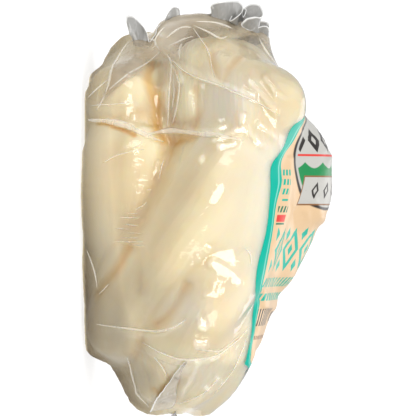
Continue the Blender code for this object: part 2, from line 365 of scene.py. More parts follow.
class Finish:
    """A material that is built node by node."""

    def __init__(self, name):
        self.material = bpy.data.materials.new(name)
        self.material.use_nodes = True
        self.tree = self.material.node_tree
        self.tree.nodes.clear()

    def add(self, kind, settings=None, inputs=None, output=0):
        """A node of a kind, with its settings made first and then its sockets' values or links."""
        node = self.tree.nodes.new(kind)
        for name, value in (settings or {}).items():
            setattr(node, name, value)
        for name, value in (inputs or {}).items():
            socket = node.inputs[name]
            if isinstance(value, Wire):
                self.tree.links.new(value.socket, socket)
            elif socket.type == "RGBA":
                socket.default_value = (*value, 1)
            else:
                socket.default_value = value
        return Wire(self, node.outputs[output])

    def math(self, operation, *values):
        """A Math node on values or outputs."""
        return self.add("ShaderNodeMath", {"operation": operation}, dict(enumerate(values)))

    def blend(self, share, below, above):
        """Two colours mixed by a share of the upper one."""
        return self.add("ShaderNodeMix", {"data_type": "RGBA"}, {0: share, 6: below, 7: above}, 2)

    def mix(self, share, below, above):
        """Two shaders mixed by a share of the upper one."""
        return self.add("ShaderNodeMixShader", None, {0: share, 1: below, 2: above})

    def bump(self, strength, distance, height):
        """A normal that follows small relief."""
        return self.add("ShaderNodeBump", None,
                        {"Strength": strength, "Distance": distance, "Height": height})

    def noise(self, place, scale, detail=2.0, roughness=0.5, distortion=0.0):
        """Cloudy noise from 0 to 1."""
        return self.add("ShaderNodeTexNoise", None, {"Vector": place, "Scale": scale, "Detail": detail,
                                                     "Roughness": roughness, "Distortion": distortion})

    def value(self, name):
        """A named value of the piece's points."""
        return self.add("ShaderNodeAttribute", {"attribute_name": name}, None, 2)

    def map_point(self, name):
        """A UV map as one point, and its two coordinates."""
        point = self.add("ShaderNodeUVMap", {"uv_map": name})
        split = self.tree.nodes.new("ShaderNodeSeparateXYZ")
        self.tree.links.new(point.socket, split.inputs[0])
        return point, Wire(self, split.outputs[0]), Wire(self, split.outputs[1])

    def place(self):
        """Object coordinates, in metres."""
        return self.add("ShaderNodeTexCoord", None, None, 3)

    def stretched(self, point, scale):
        """A point with each coordinate multiplied by a scale of its own."""
        return self.add("ShaderNodeMapping", None, {"Vector": point, "Scale": scale})

    def show(self, shader):
        """Links a shader to the output and returns the material."""
        output = self.tree.nodes.new("ShaderNodeOutputMaterial")
        self.tree.links.new(shader.socket, output.inputs["Surface"])
        return self.material


directions, box_faces = blown_box(BOX_CELLS, BOX_SHAPE)
near_side = np.clip((-directions[:, 1] - FLANK_FROM) / FLANK_SOFT, 0, 1)       # 1 on the shown flank
far_side = np.clip((directions[:, 1] - FLANK_FROM) / FLANK_SOFT, 0, 1)
routes = [smooth_route(strand) for _, strands in FIBRED_STRANDS for strand in strands]
wound = above_back(directions, reach_of(directions, routes))
stretched = pull_tight(directions, box_faces, wound, PRESSING_STEPS)
lump = stretched - CREASE_LEFT * (stretched - wound)
# How deep each crease was, which sets its painted golden shade.
crease = np.clip((stretched - wound) / FULL_CREASE, 0, 1)
grain_along, grain_round, grain_depth = strand_grain(HEART + directions * wound[:, None])
lump += grain_depth * fibre_relief(grain_along, grain_round)
wound_points = HEART + directions * lump[:, None]
# Painted shade: the hollows are coloured amber along their lines, as the shade in them.
hollow_shade = np.zeros(len(lump))
for share, hollows in ((near_side, HOLLOWS), (far_side, FAR_HOLLOWS)):
    for depth, half_width, gold_shade, route in hollows:
        gap = distance_to_route(wound_points[:, 0], wound_points[:, 2], smooth_route(route))
        lump -= depth * share * np.exp(-(gap / half_width) ** 2)
        hollow_shade = np.maximum(hollow_shade, gold_shade * share * np.exp(-(gap / half_width / 1.25) ** 2))
lump = above_back(directions, lump)
lump_points = HEART + directions * lump[:, None]

CREAM = (0.890, 0.770, 0.525)
CREAM_PALE = (0.920, 0.830, 0.605)
FIBRE_GOLD_AND_CREASE_SHADE = (0.840, 0.655, 0.370)
HOLLOW_SHADE_AMBER = (0.850, 0.560, 0.175)
# A paler, less yellow cream for the painted light.
CREAM_PAINTED_LIGHT = (0.930, 0.875, 0.765)
# A near-black brown for the painted shade at the lower rim and in spots above it.
RIM_SHADE_BROWN = (0.078, 0.046, 0.014)


def cheese_finish():
    """White cheese: cloudy cream tones with fine fibres along each strand, painted golden shade in the
    creases and hollows, painted shade at the lower rim and painted light on the front and in some spots. It
    is wet under the film, so its own gloss is weak."""
    finish = Finish("pulled_cheese")
    place = finish.place()
    grain, _, _ = finish.map_point("grain")
    clouds = finish.noise(place, 45.0, 3.0)
    strands = finish.noise(finish.stretched(grain, (0.05, 1.1, 1.0)), 1.0, 4.0, 0.6)
    fine = finish.noise(finish.stretched(grain, (0.18, 4.5, 1.0)), 1.0, 3.0, 0.6)
    crease_shade = finish.value("crease").rise(0.08, 1.0)
    colour = finish.blend(clouds.rise(0.35, 0.65), CREAM, CREAM_PALE)
    # A little gold in the fibres is their own tone; the gold in the creases and the amber in the hollows
    # are painted shade.
    colour = finish.blend(strands.rise(0.62, 0.30) * 0.06, colour, FIBRE_GOLD_AND_CREASE_SHADE)
    colour = finish.blend(crease_shade * 0.55, colour, FIBRE_GOLD_AND_CREASE_SHADE)
    colour = finish.blend(finish.value("hollow_shade").rise(0.0, 1.0) * 0.85, colour, HOLLOW_SHADE_AMBER)
    # Painted light: paler towards the front and in some spots.
    colour = finish.blend(finish.value("pale"), colour, CREAM_PAINTED_LIGHT)
    # Painted shade at the lower rim and in spots above it.
    colour = finish.blend(finish.value("rim_shade"), colour, RIM_SHADE_BROWN)
    relief = finish.bump(0.35, 0.0004, strands * 0.7 + fine * 0.3)
    skin = finish.add("ShaderNodeBsdfPrincipled", None, {
        "Base Color": colour, "Roughness": 0.46 + 0.12 * fine, "Normal": relief,
        "Subsurface Weight": 0.55, "Subsurface Radius": (1.0, 0.7, 0.35), "Subsurface Scale": 0.006,
        "IOR": 1.42, "Specular IOR Level": 0.2})
    return finish.show(skin)


# The lower rim, where painted shade darkens the cheese as shade near the table would, as (x, height of the
# rim, how far up the painted shade reaches, share of it at the rim), in millimetres.
LOWER_RIM = np.array([
    (-52.0, 19.0, 8.0, 0.60), (-48.0, 8.8, 9.5, 0.68), (-42.0, 4.1, 10.5, 0.74), (-36.5, 0.3, 10.5, 0.80),
    (-31.5, 0.0, 8.5, 0.80), (-24.0, 0.0, 7.8, 0.70), (-11.0, 0.0, 8.2, 0.72), (4.7, 0.0, 9.4, 0.90),
    (20.0, 0.0, 12.3, 0.99), (28.0, 0.0, 14.0, 0.95), (32.6, 0.0, 14.0, 0.93), (35.7, 3.1, 14.5, 0.97),
    (38.8, 6.7, 13.5, 0.98), (42.0, 8.0, 13.0, 0.97), (45.0, 10.1, 11.0, 0.92), (48.1, 15.3, 8.5, 0.70),
])
RIM_FADE = 0.75                 # the shade falls off upwards by this power
BACK_FROM, BACK_TO = 0.8, 0.2   # between these heights the pressed back becomes paler again,
BACK_PALER = 0.6                # by this share of the shade
# Spots of painted shade above the rim, as (x, z, radius, amount).
SHADE_SPOTS = [(33.0, 15.0, 4.0, 0.20), (-38.0, 50.0, 7.0, 0.16), (16.5, 14.0, 6.5, 0.13)]
# Painted light: the cheese is painted paler towards the front, as a sheen where the lamp falls, but not at
# the head, and in some spots of the flanks, against their shade.
FRONT_PAINTED_SHEEN = 0.75
PALE_FROM_HEIGHT, PALE_AT_HEIGHT = 32.0, 46.0
PALE_FROM_HEAD, PALE_PAST_HEAD = -30.0, -18.0
PAINTED_LIGHT_SPOTS = [
    (22.0, 28.5, 6.0, 0.75), (-29.0, 38.0, 6.5, 0.7), (38.0, 31.0, 7.0, 0.6), (-8.0, 47.0, 8.0, 0.2),
    (-23.0, 31.0, 5.0, 0.4), (-29.5, 32.5, 5.0, 0.6), (-31.5, 38.5, 7.5, 0.9),
]
lump_x, _, lump_z = lump_points.T
# Painted shade: the cheese is darkened towards the lower rim, fading upwards, and in the spots above it.
rim_height, rim_reach, rim_share = (
    np.interp(lump_x, LOWER_RIM[:, 0], LOWER_RIM[:, column]) for column in (1, 2, 3))
rim_shade = rim_share * np.clip(1 - (lump_z - rim_height) / rim_reach, 0, 1) ** RIM_FADE
rim_shade *= 1 - BACK_PALER * np.clip((BACK_FROM - lump_z) / (BACK_FROM - BACK_TO), 0, 1)
rim_shade = np.maximum(rim_shade, spotted(lump_points, SHADE_SPOTS))
# Painted light: paler towards the front as a sheen, and in the spots against their shade.
pale = (FRONT_PAINTED_SHEEN * np.clip((lump_z - PALE_FROM_HEIGHT) / (PALE_AT_HEIGHT - PALE_FROM_HEIGHT), 0, 1)
        * np.clip((lump_x - PALE_FROM_HEAD) / (PALE_PAST_HEAD - PALE_FROM_HEAD), 0, 1))
pale = np.maximum(pale, spotted(lump_points, PAINTED_LIGHT_SPOTS))
cheese = make_mesh("cheese_rope", lump_points, box_faces,
                   {"grain": (grain_along, grain_round)},
                   {"crease": crease, "hollow_shade": hollow_shade, "rim_shade": rim_shade, "pale": pale})
cheese.data.materials.append(cheese_finish())
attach(cheese, "root")
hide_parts("sealed_pack")

# ---------------------------------------------------------------------------------------------------------
# The bag
# Clear film, shrunk onto the cheese by the vacuum. It touches the strands, bridges the creases between them
# and hangs in folds from the head seal. The front is printed: a framed field with plain ornaments.
# ---------------------------------------------------------------------------------------------------------
HEAD_SEAL = [                   # the seal under the skirt, as (x, y, z)
    (-45.6, -11, 11.7), (-45.7, -11.5, 13.5), (-45.3, -11.5, 16.1), (-46.7, -10.5, 17), (-48.7, -9.5, 18),
    (-50.6, -8.5, 19.2), (-51.9, -7.5, 21.9), (-52.5, -6, 26.4), (-52.6, -5.5, 29.2), (-51.9, -5.5, 31.3),
    (-50.9, -4.5, 35.1), (-50.2, -4, 36.6), (-50.7, -4, 38.9), (-50, -2.5, 41.7), (-48.4, -2.5, 44),
    (-47, 1, 45.1), (-46.8, 5, 43.6), (-46.5, 9, 41.5), (-45.5, 15, 36.5), (-43, 19, 29), (-41, 21, 21.5),
]
SEAL_RADIUS = 0.9
FILM_GAP = 0.16                 # the film's outer side over the cheese, where it touches
LEAST_GAP = 0.1                 # and the least that is left where a fold or a facet dips
TIGHTENING_STEPS = 26           # how far the film bridges the creases
HEAD_STEPS = 330                # and how far it is stretched between the seal and the cheese, at the head
HEAD_FILM_STARTS, HEAD_FILM_FULL = -27.0, -36.0
FRONT_FROM = 0.4                # a ray's upward part where the printed front starts

# Soft folds, as the shown flank has them: (height, half width, points as (x, z)), in millimetres.
SOFT_FOLDS = [
    (0.95, 0.9, [(-35.4, 42.7), (-31.5, 46.0), (-27.7, 49.0)]),
    (0.80, 0.8, [(-36.5, 46.5), (-33.5, 48.7), (-31.0, 51.0)]),
    (0.95, 1.0, [(-26.5, 40.5), (-22.7, 43.0), (-19.5, 45.7)]),
    (0.70, 0.8, [(-24.6, 45.2), (-22.8, 47.4), (-21.2, 49.3)]),
    (0.50, 0.9, [(-15.8, 52.2), (-10.7, 52.2), (-5.6, 51.9), (-0.6, 51.8), (4.0, 51.1)]),
    (0.60, 0.9, [(-2.6, 55.8), (1.0, 56.3), (4.6, 56.4)]),
    (0.60, 0.8, [(17.2, 46.0), (18.8, 45.7), (20.9, 45.7)]),
    (0.55, 0.9, [(-26.4, 0.3), (-26.1, 5.2), (-25.1, 11.1), (-23.5, 16.8), (-20.7, 20.2)]),
    (0.60, 0.9, [(-23.0, 15.3), (-23.5, 21.2), (-23.3, 26.4), (-23.0, 33.1), (-22.0, 41.0)]),
    (0.70, 0.8, [(-40.1, 21.7), (-31.6, 21.5), (-24.1, 21.5)]),
    (0.60, 0.8, [(-41.1, 23.0), (-36.7, 24.8), (-31.6, 24.6), (-28.5, 23.3)]),
    (0.75, 0.8, [(-43.7, 19.7), (-41.9, 22.5), (-39.3, 25.6), (-37.4, 29.8), (-35.4, 34.4), (-31.6, 43.7)]),
    (0.45, 0.8, [(25.7, 2.8), (26.9, 8.8), (28.4, 16.8), (27.7, 21.7), (25.2, 26.1)]),
    (0.50, 0.8, [(31.0, 14.4), (33.1, 18.9), (34.9, 23.7), (35.2, 28.6), (34.6, 33.4), (29.4, 40.4)]),
    (0.65, 0.9, [(30.2, 41.5), (37.5, 38.8), (41.6, 34.7), (44.8, 30.1), (46.8, 26.0)]),
    (0.55, 0.8, [(33.0, 42.6), (38.0, 40.8), (42.5, 37.6)]),
    (0.50, 0.7, [(35.5, 30.0), (39.5, 27.8), (43.0, 25.0)]),
]

# Folds of the printed front as it is seen from above: (height, half width, points as (x, y)).
FRONT_FOLDS = [
    (-1.3, 1.6, [(15.5, -20), (16.8, -10), (17.0, 0), (15.8, 10), (14.0, 18)]),
    (0.7, 1.6, [(20.5, -14), (21.5, -4), (20.8, 8)]),
    (-0.9, 1.5, [(-2.5, -14), (1.5, -8), (3.0, 0), (1.0, 9), (-1.5, 15)]),
    (0.6, 1.2, [(-5.5, -10), (-1.5, -5), (0.0, 2)]),
    (-0.8, 1.4, [(-24.0, -12), (-21.5, -3), (-22.5, 8), (-25.0, 15)]),
    (0.5, 1.1, [(-12.0, 16), (-7.0, 11), (-3.0, 9)]),
    (0.6, 1.2, [(26.0, 8), (21.0, 12), (15.0, 14)]),
    (-0.6, 1.3, [(29.5, -13), (28.0, -4), (29.0, 6)]),
    (0.5, 1.0, [(-15.0, -6), (-17.0, 2), (-16.0, 9)]),
]

# Flat facets of both flanks, where the film bridges small dips and mirrors the lamp, as (x, z, half length,
# half width, turn), in millimetres and degrees from the X axis towards Z.
FACETS = [
    (12.5, 37.0, 4.9, 1.5, 53), (30.0, 30.8, 2.6, 1.8, 0), (25.0, 31.4, 2.5, 1.1, 4),
    (32.6, 29.8, 1.4, 0.4, 90), (18.3, 33.5, 1.9, 0.75, 78), (15.9, 32.4, 0.8, 0.45, 90),
    (8.8, 30.3, 1.8, 0.7, 10), (5.9, 32.6, 1.4, 0.8, 60), (10.0, 29.7, 1.4, 0.45, 90),
    (-13.4, 19.4, 2.4, 0.55, -19), (-18.0, 14.4, 1.2, 0.6, 90), (-19.4, 37.4, 2.6, 2.0, 90),
    (-15.3, 31.3, 1.8, 0.4, 0), (-25.3, 41.2, 2.3, 0.7, -12), (-23.1, 40.4, 1.7, 1.0, 90),
    (-25.7, 36.0, 1.1, 0.5, 90), (-23.8, 36.0, 1.4, 0.8, 90), (-34.4, 31.1, 0.9, 0.4, 90),
    (-36.3, 25.2, 1.3, 0.5, 0), (-37.2, 11.9, 0.6, 0.4, 90), (-32.5, 7.0, 0.9, 0.4, -30),
    (-30.2, 11.4, 1.2, 0.6, 90), (-30.0, 15.3, 0.9, 0.6, 90), (-27.6, 11.5, 0.7, 0.5, 0),
    (-26.4, 13.9, 1.0, 0.8, 0), (-25.6, 20.4, 0.9, 0.4, 0), (-20.7, 36.0, 2.7, 0.8, 90),
    (-19.0, 12.7, 1.3, 0.35, 90), (-11.0, 16.2, 0.9, 0.3, 80), (-7.5, 14.6, 0.9, 0.3, 80),
    (39.5, 34.0, 1.6, 0.5, 40), (42.0, 31.0, 1.8, 0.5, 50), (38.5, 23.2, 1.4, 0.4, 60),
]
FACET_FACING = np.array((-0.024, -0.938, 0.346))        # halfway between the lamp and the camera
FACET_EDGE = 0.5                # how soft a facet's edge is, as a share of its size
FACET_TOP_SHARE = 0.35          # its plane lies between the mean depth of its points and the greatest one
FACET_RISE = 0.9                # and at most this far out of the film

seal_wire = smooth_route([(*point, SEAL_RADIUS) for point in HEAD_SEAL])
seal_reach = reach_of(directions, [seal_wire])
film = pull_tight(directions, box_faces, np.maximum(lump, seal_reach), TIGHTENING_STEPS)
tight_x = directions[:, 0] * film
slack = np.clip((HEAD_FILM_STARTS - tight_x) / (HEAD_FILM_STARTS - HEAD_FILM_FULL), 0, 1)
film = pull_tight(directions, box_faces, film, HEAD_STEPS, slack)
film_points = HEART + directions * film[:, None]
folds = np.zeros(len(film))
for height, half_width, route in SOFT_FOLDS:
    for share, line in both_flanks(route):
        gap = distance_to_route(film_points[:, 0], film_points[:, 2], line)
        folds += height * share * np.exp(-(gap / half_width) ** 2)
front_side = np.clip((directions[:, 2] - FRONT_FROM) / FLANK_SOFT, 0, 1)
front_folds = np.zeros(len(film))
for height, half_width, route in FRONT_FOLDS:
    gap = distance_to_route(film_points[:, 0], film_points[:, 1], smooth_route(route))
    front_folds += height * np.exp(-(gap / half_width) ** 2)
film = film + folds + front_side * front_folds + FILM_GAP
film = above_back(directions, np.maximum(film, lump + LEAST_GAP))
film_points = HEART + directions * film[:, None]
for side, share in ((-1, near_side), (1, far_side)):
    facing = FACET_FACING / np.linalg.norm(FACET_FACING) * (1, -side, 1)
    for spot_x, spot_z, half_length, half_width, turn in FACETS:
        right, up = film_points[:, 0] - spot_x, film_points[:, 2] - spot_z
        cosine, sine = math.cos(math.radians(turn)), math.sin(math.radians(turn))
        along, aside = (right * cosine + up * sine) / half_length, (up * cosine - right * sine) / half_width
        cover = np.clip((1.35 - np.abs(along) ** 3 - np.abs(aside) ** 3) / FACET_EDGE, 0, 1)
        flat = np.flatnonzero((cover > 0) & (share > 0.5))
        if len(flat):
            depth = (film_points[flat] - HEART) @ facing
            level = depth.mean() + FACET_TOP_SHARE * (depth.max() - depth.mean()) + LEAST_GAP
            flattened = np.clip(level / (directions[flat] @ facing),
                                lump[flat] + LEAST_GAP, film[flat] + FACET_RISE)
            film[flat] += cover[flat] * (flattened - film[flat])
film = above_back(directions, film)
film_points = HEART + directions * film[:, None]
film_gap = film - lump

# The printed panel's near band, as (x, z, half width) on the flank.
NEAR_BAND = [
    (-36, 59.0, 1.6), (-31.3, 57.4, 1.5), (-29.2, 56.0, 1.5), (-27.1, 55.1, 1.4), (-25.3, 54.4, 1.3),
    (-21.8, 52.9, 1.2), (-19.8, 52.1, 0.75), (-17.6, 50.7, 0.45), (-16.2, 50.0, 0.55), (-15.0, 49.3, 1.15),
    (-12.9, 49.2, 1.4), (-9.7, 49.3, 1.35), (-4.6, 48.5, 0.8), (1.4, 47.8, 0.78), (5.6, 47.0, 0.9),
    (11.7, 45.7, 1.15), (16.0, 45.1, 0.75), (20.0, 44.5, 0.55), (23.2, 43.7, 0.6), (27.0, 43.2, 0.4),
    (31.0, 42.4, 0.35), (37.0, 41.2, 0.5), (42.0, 40.5, 0.6),
]
# The far band, out of the picture: (x, turn round the pack in radians).
FAR_BAND = [
    (-36, 0.46), (-28, 0.52), (-20, 0.60), (-8, 0.66), (6, 0.70), (18, 0.68), (30, 0.58), (42, 0.46),
]
FAR_BAND_HALF_TURN = 0.050
NEAR_BAND_HALF_TURNS = (0.014, 0.075)       # the near band's half width stays between these angles
STATIONS = np.arange(-38.0, 43.0, 1.0)      # along the pack, where the near band's edges are looked up
STATION_REACH = 0.8
LEVEL_FROM, LEVEL_TO = -12.0, 16.0          # the stations that the straight print is laid along
PANEL_HEAD, PANEL_FOOT = -33.0, 38.0
PANEL_END_HALF_WIDTH = 2.0
LABEL_RADIUS = 38.0             # turns the angle round the pack into millimetres across the label
LABEL_AXIS_HEIGHT = 22.0
CORNER_ROUNDING = 0.8           # of the panel's corners, in half widths of the band


def label_place(points):
    """Millimetres across the label from the near band, by the angle round the pack, and how far inside the
    printed panel a point is, in half widths of its band: -1 to 1 is the band. The near band's edges are
    given as heights on the flank, so each is looked up there as an angle, station by station."""
    x, y, z = points.T
    turn = np.arctan2(y, z - LABEL_AXIS_HEIGHT)
    near, far = smooth_route(NEAR_BAND, 3), smooth_route(FAR_BAND, 3)
    edge_turns = np.empty((len(STATIONS), 2))
    flank = np.flatnonzero(y < 0)
    for place, station in enumerate(STATIONS):
        slab = flank[np.abs(x[flank] - station) < STATION_REACH]
        slab = slab[np.argsort(turn[slab])]
        middle, half = (np.interp(station, near[:, 0], near[:, column]) for column in (1, 2))
        climb = np.maximum.accumulate(z[slab])
        edge_turns[place] = np.interp((middle - half, middle + half), climb, turn[slab])
    near_half = np.clip((edge_turns[:, 1] - edge_turns[:, 0]) / 2, *NEAR_BAND_HALF_TURNS)
    near_half = np.convolve(np.pad(near_half, 2, mode="edge"), np.ones(5) / 5, mode="valid")
    near_middle = np.pad(edge_turns.mean(axis=1), 1, mode="edge")
    near_middle = np.convolve(near_middle, (0.25, 0.5, 0.25), mode="valid")
    half_width = LABEL_RADIUS * np.interp(x, STATIONS, near_half)
    laid = (STATIONS > LEVEL_FROM) & (STATIONS < LEVEL_TO)
    level = np.polyfit(STATIONS[laid], near_middle[laid], 1)
    across = LABEL_RADIUS * (turn - np.polyval(level, x))
    to_near = LABEL_RADIUS * (turn - np.interp(x, STATIONS, near_middle)) / half_width
    to_far = (np.interp(x, *far.T) - turn) / FAR_BAND_HALF_TURN
    ends = np.minimum(x - PANEL_HEAD, PANEL_FOOT - x) / PANEL_END_HALF_WIDTH
    shares = [np.exp(-np.clip(side, -30, 30) / CORNER_ROUNDING) for side in (to_near, to_far, ends)]
    return across, -CORNER_ROUNDING * np.log(sum(shares)), half_width


TEAL = (0.000, 0.370, 0.275)
# A pale teal for the painted highlight in the band and for its painted glow beside it.
TEAL_PAINTED_LIGHT = (0.36, 0.70, 0.60)
PEACH = (0.640, 0.450, 0.268)
PRINT_WHITE = (0.45, 0.44, 0.41)
PRINT_BLACK = (0.022, 0.018, 0.016)
LEAF_GREEN = (0.010, 0.215, 0.065)
DARK_GREEN = (0.02, 0.16, 0.09)
PRINT_RED = (0.62, 0.045, 0.035)
PRINT_BROWN = (0.22, 0.10, 0.035)
# The milky haze, from its darker to its paler tone; the brown-grey is partly milk and partly painted shade
# of the cheese behind it.
FILM_MILK_AND_SHADE = (0.40, 0.315, 0.200)
FILM_PALE = (0.52, 0.455, 0.350)

# The rows of bars under the lozenges: (x, half height, pitch, width, across from, across to, slant, ink).
BAR_ROWS = [
    (15.3, 1.15, 2.3, 1.25, 2.4, 51.0, 0.55, TEAL), (19.0, 0.95, 3.1, 2.0, 2.4, 44.0, 0.55, TEAL),
    (24.2, 2.2, 1.9, 0.95, 2.6, 24.0, 0.0, PRINT_BLACK),
    (24.2, 1.3, 3.3, 2.1, 27.0, 47.0, 0.0, PRINT_BLACK),
    (29.4, 0.5, 1.5, 1.0, 8.0, 46.0, 0.2, PRINT_BROWN),
]


def printed_colour(finish, along, across):
    """The label's ornaments in order: medallion, plaque, dashes, lozenges and bars on a peach field."""
    def box(x0, x1, q0, q1, soft=0.12):
        """1 between two places along the pack and two across it, with a soft edge."""
        return (along.rise(x0 - soft, x0 + soft) * along.rise(x1 + soft, x1 - soft)
                * across.rise(q0 - soft, q0 + soft) * across.rise(q1 + soft, q1 - soft))

    def repeat(value, pitch, shift=0.0):
        """Distance from the middle of the nearest of many equal steps."""
        step = (value - shift) / pitch
        return abs(step - finish.math("FLOOR", step) - 0.5) * pitch

    def dashes(x_middle, half_height, pitch, width, q0, q1, slant=0.0):
        """A row of bars across the pack, upright or slanted."""
        slanted = across + slant * (along - x_middle)
        bar = repeat(slanted, pitch).rise(width / 2 + 0.1, width / 2 - 0.1)
        return bar * box(x_middle - half_height, x_middle + half_height, q0, q1)

    colour = PEACH
    middle, medallion_x = 28.0, -15.5
    ring = (((along - medallion_x) / 12.5) ** 2.0 + ((across - middle) / 19.5) ** 2.0) ** 0.5
    colour = finish.blend(ring.rise(1.015, 0.985), colour, PRINT_BLACK)
    colour = finish.blend(ring.rise(0.955, 0.925), colour, PRINT_WHITE)
    field = ring.rise(0.905, 0.88)
    scallops = along - medallion_x - 0.2 - 1.5 * abs(finish.math("SINE", across * 0.46))
    colour = finish.blend(field * scallops.rise(-0.15, 0.15), colour, LEAF_GREEN)
    gems = abs(along - medallion_x + 5.4) / 3.1 + repeat(across, 6.6, 2.0) / 2.7
    colour = finish.blend(field * gems.rise(1.04, 0.96), colour, PRINT_BLACK)
    colour = finish.blend(field * gems.rise(0.40, 0.34), colour, PRINT_WHITE)
    rule = abs(along - medallion_x + 1.6).rise(0.34, 0.22)
    colour = finish.blend(field * rule, colour, PRINT_RED)
    colour = finish.blend(box(-11.9, -4.3, 13.6, 42.4, 0.1), colour, PRINT_BROWN)
    colour = finish.blend(box(-11.5, -4.7, 14.0, 42.0, 0.1), colour, PRINT_WHITE)
    chain = abs(along + 8.1) / 2.2 + repeat(across, 5.2, 1.2) / 1.5
    outline = chain.rise(1.05, 0.93) * chain.rise(0.42, 0.54) * box(-10.6, -5.6, 15.6, 40.4)
    colour = finish.blend(outline, colour, PRINT_BLACK)
    for row, x_row in enumerate((-12.6, -10.2, -7.8)):
        bars = dashes(x_row, 0.75, 1.25, 0.75, 2.2, 6.0 - 0.3 * row, 0.15)
        colour = finish.blend(bars, colour, TEAL)
    colour = finish.blend(box(-5.9, -5.4, 3.0, 5.4), colour, TEAL)
    colour = finish.blend(dashes(-3.3, 0.8, 1.4, 0.8, 2.0, 6.4, 0.3), colour, DARK_GREEN)
    colour = finish.blend(box(-1.9, -0.1, 2.0, 6.2), colour, PRINT_RED)
    colour = finish.blend(box(0.15, 0.6, 2.0, 6.2), colour, DARK_GREEN)
    lozenge_x, lozenge_pitch = 7.0, 10.5
    lozenge = abs(along - lozenge_x) / 5.6 + repeat(across, lozenge_pitch, 3.6) / 4.9
    shown = box(1.0, 13.0, 3.4, 52.0)
    colour = finish.blend(lozenge.rise(1.02, 0.97) * lozenge.rise(0.60, 0.66) * shown, colour, TEAL)
    colour = finish.blend(lozenge.rise(0.30, 0.24) * shown, colour, TEAL)
    bead = abs(abs(along - lozenge_x) - 4.0) / 1.7 + repeat(across, lozenge_pitch, -1.65) / 1.5
    colour = finish.blend(bead.rise(1.06, 0.94) * shown, colour, TEAL)
    for *row, ink in BAR_ROWS:
        colour = finish.blend(dashes(*row), colour, ink)
    return colour


def film_finish():
    """Clear glossy film, milky where it hangs free of the cheese, its milk tinted brown-grey as painted
    shade of the cheese behind, dull over the lower rim, and printed at the front, with a painted highlight
    along the near band and a painted teal glow beside it. Its gloss is a mirror that shows by the Fresnel
    share."""
    finish = Finish("printed_film")
    place = finish.place()
    _, along, across = finish.map_point("label")
    depth = finish.value("panel")
    crumple = finish.value("crumple")
    crinkle = finish.noise(finish.stretched(place, (900.0, 300.0, 150.0)), 1.0, 3.0, 0.55, 0.4)
    ripple = finish.noise(place, 95.0, 2.0)
    pucker = finish.noise(finish.stretched(place, (330.0, 240.0, 190.0)), 1.0, 2.0, 0.5, 0.3)
    glitter = finish.noise(place, 900.0, 2.0, 0.5, 0.6)
    wrinkles = ripple * 0.8 + pucker * 0.32 + crinkle * (0.16 + 0.5 * crumple) + glitter * crumple * 1.2
    relief = finish.bump(0.30, 0.0007, wrinkles)
    mirrored = finish.add("ShaderNodeFresnel", None, {"IOR": 1.58, "Normal": relief})
    clear = finish.add("ShaderNodeBsdfTransparent")
    gloss = finish.add("ShaderNodeBsdfGlossy", None, {"Color": (1, 1, 1), "Roughness": 0.05,
                                                      "Normal": relief})
    shine = finish.mix(mirrored * (1 - 0.97 * finish.value("wet")), clear, gloss)
    haze = finish.add("ShaderNodeBsdfPrincipled", None, {
        "Base Color": finish.blend(ripple.rise(0.35, 0.7), FILM_MILK_AND_SHADE, FILM_PALE), "Roughness": 0.2,
        "Normal": relief, "IOR": 1.5})
    hazy = finish.mix(finish.value("milk") * (0.75 + 0.5 * ripple), shine, haze)
    colour = printed_colour(finish, along, across)
    # Painted highlight: a pale stripe along the middle of the near band.
    band_highlight = depth.rise(0.30, 0.42) * depth.rise(0.66, 0.54)
    band = finish.blend(band_highlight * 0.55, TEAL, TEAL_PAINTED_LIGHT)
    colour = finish.blend(depth.rise(0.94, 1.04), band, colour)
    # Painted teal glow in the film just beside the band.
    colour = finish.blend(depth.rise(-1.06, -0.96), TEAL_PAINTED_LIGHT, colour)
    ink = finish.add("ShaderNodeBsdfPrincipled", None, {
        "Base Color": colour, "Roughness": 0.28, "Normal": relief, "Specular IOR Level": 0.16})
    cover = finish.math("MAXIMUM", depth.rise(-1.06, -0.96), finish.value("band_glow") * 0.16)
    return finish.show(finish.mix(cover, hazy, ink))


# Where the shown flank's free film is milky, and where it is quite clear, as (share, soft edge, corners as
# (x, z)), in millimetres.
WEBS = [
    (0.62, 0.6, [(-46.5, 10.7), (-42.8, 8.4), (-38.6, 7.6), (-34.5, 7.0), (-31.1, 5.2), (-28.6, 4.2),
                 (-31.4, 6.3), (-34.1, 9.4), (-37.2, 13.6), (-40.5, 17.0), (-43.9, 19.6), (-46.6, 17.0)]),
    (0.45, 0.5, [(-41.9, 21.2), (-40.1, 22.5), (-35.2, 24.6), (-31.1, 24.5), (-27.4, 23.7), (-24.7, 22.9),
                 (-24.1, 21.7), (-29.1, 22.0), (-34.6, 22.2), (-39.4, 21.2)]),
    (0.40, 1.5, [(-48.5, 15.5), (-44.1, 18.5), (-40.8, 22.8), (-39.0, 25.8), (-42.5, 27.0), (-47.0, 31.5),
                 (-51.5, 27.0), (-51.0, 19.5)]),
    (0.70, 1.0, [(-51.5, 27.7), (-47.3, 31.4), (-48.1, 35.7), (-44.6, 41.9), (-42.2, 47.2), (-40.1, 50.9),
                 (-44.0, 49.0), (-49.0, 46.0), (-53.5, 40.0), (-54.0, 30.0)]),
]
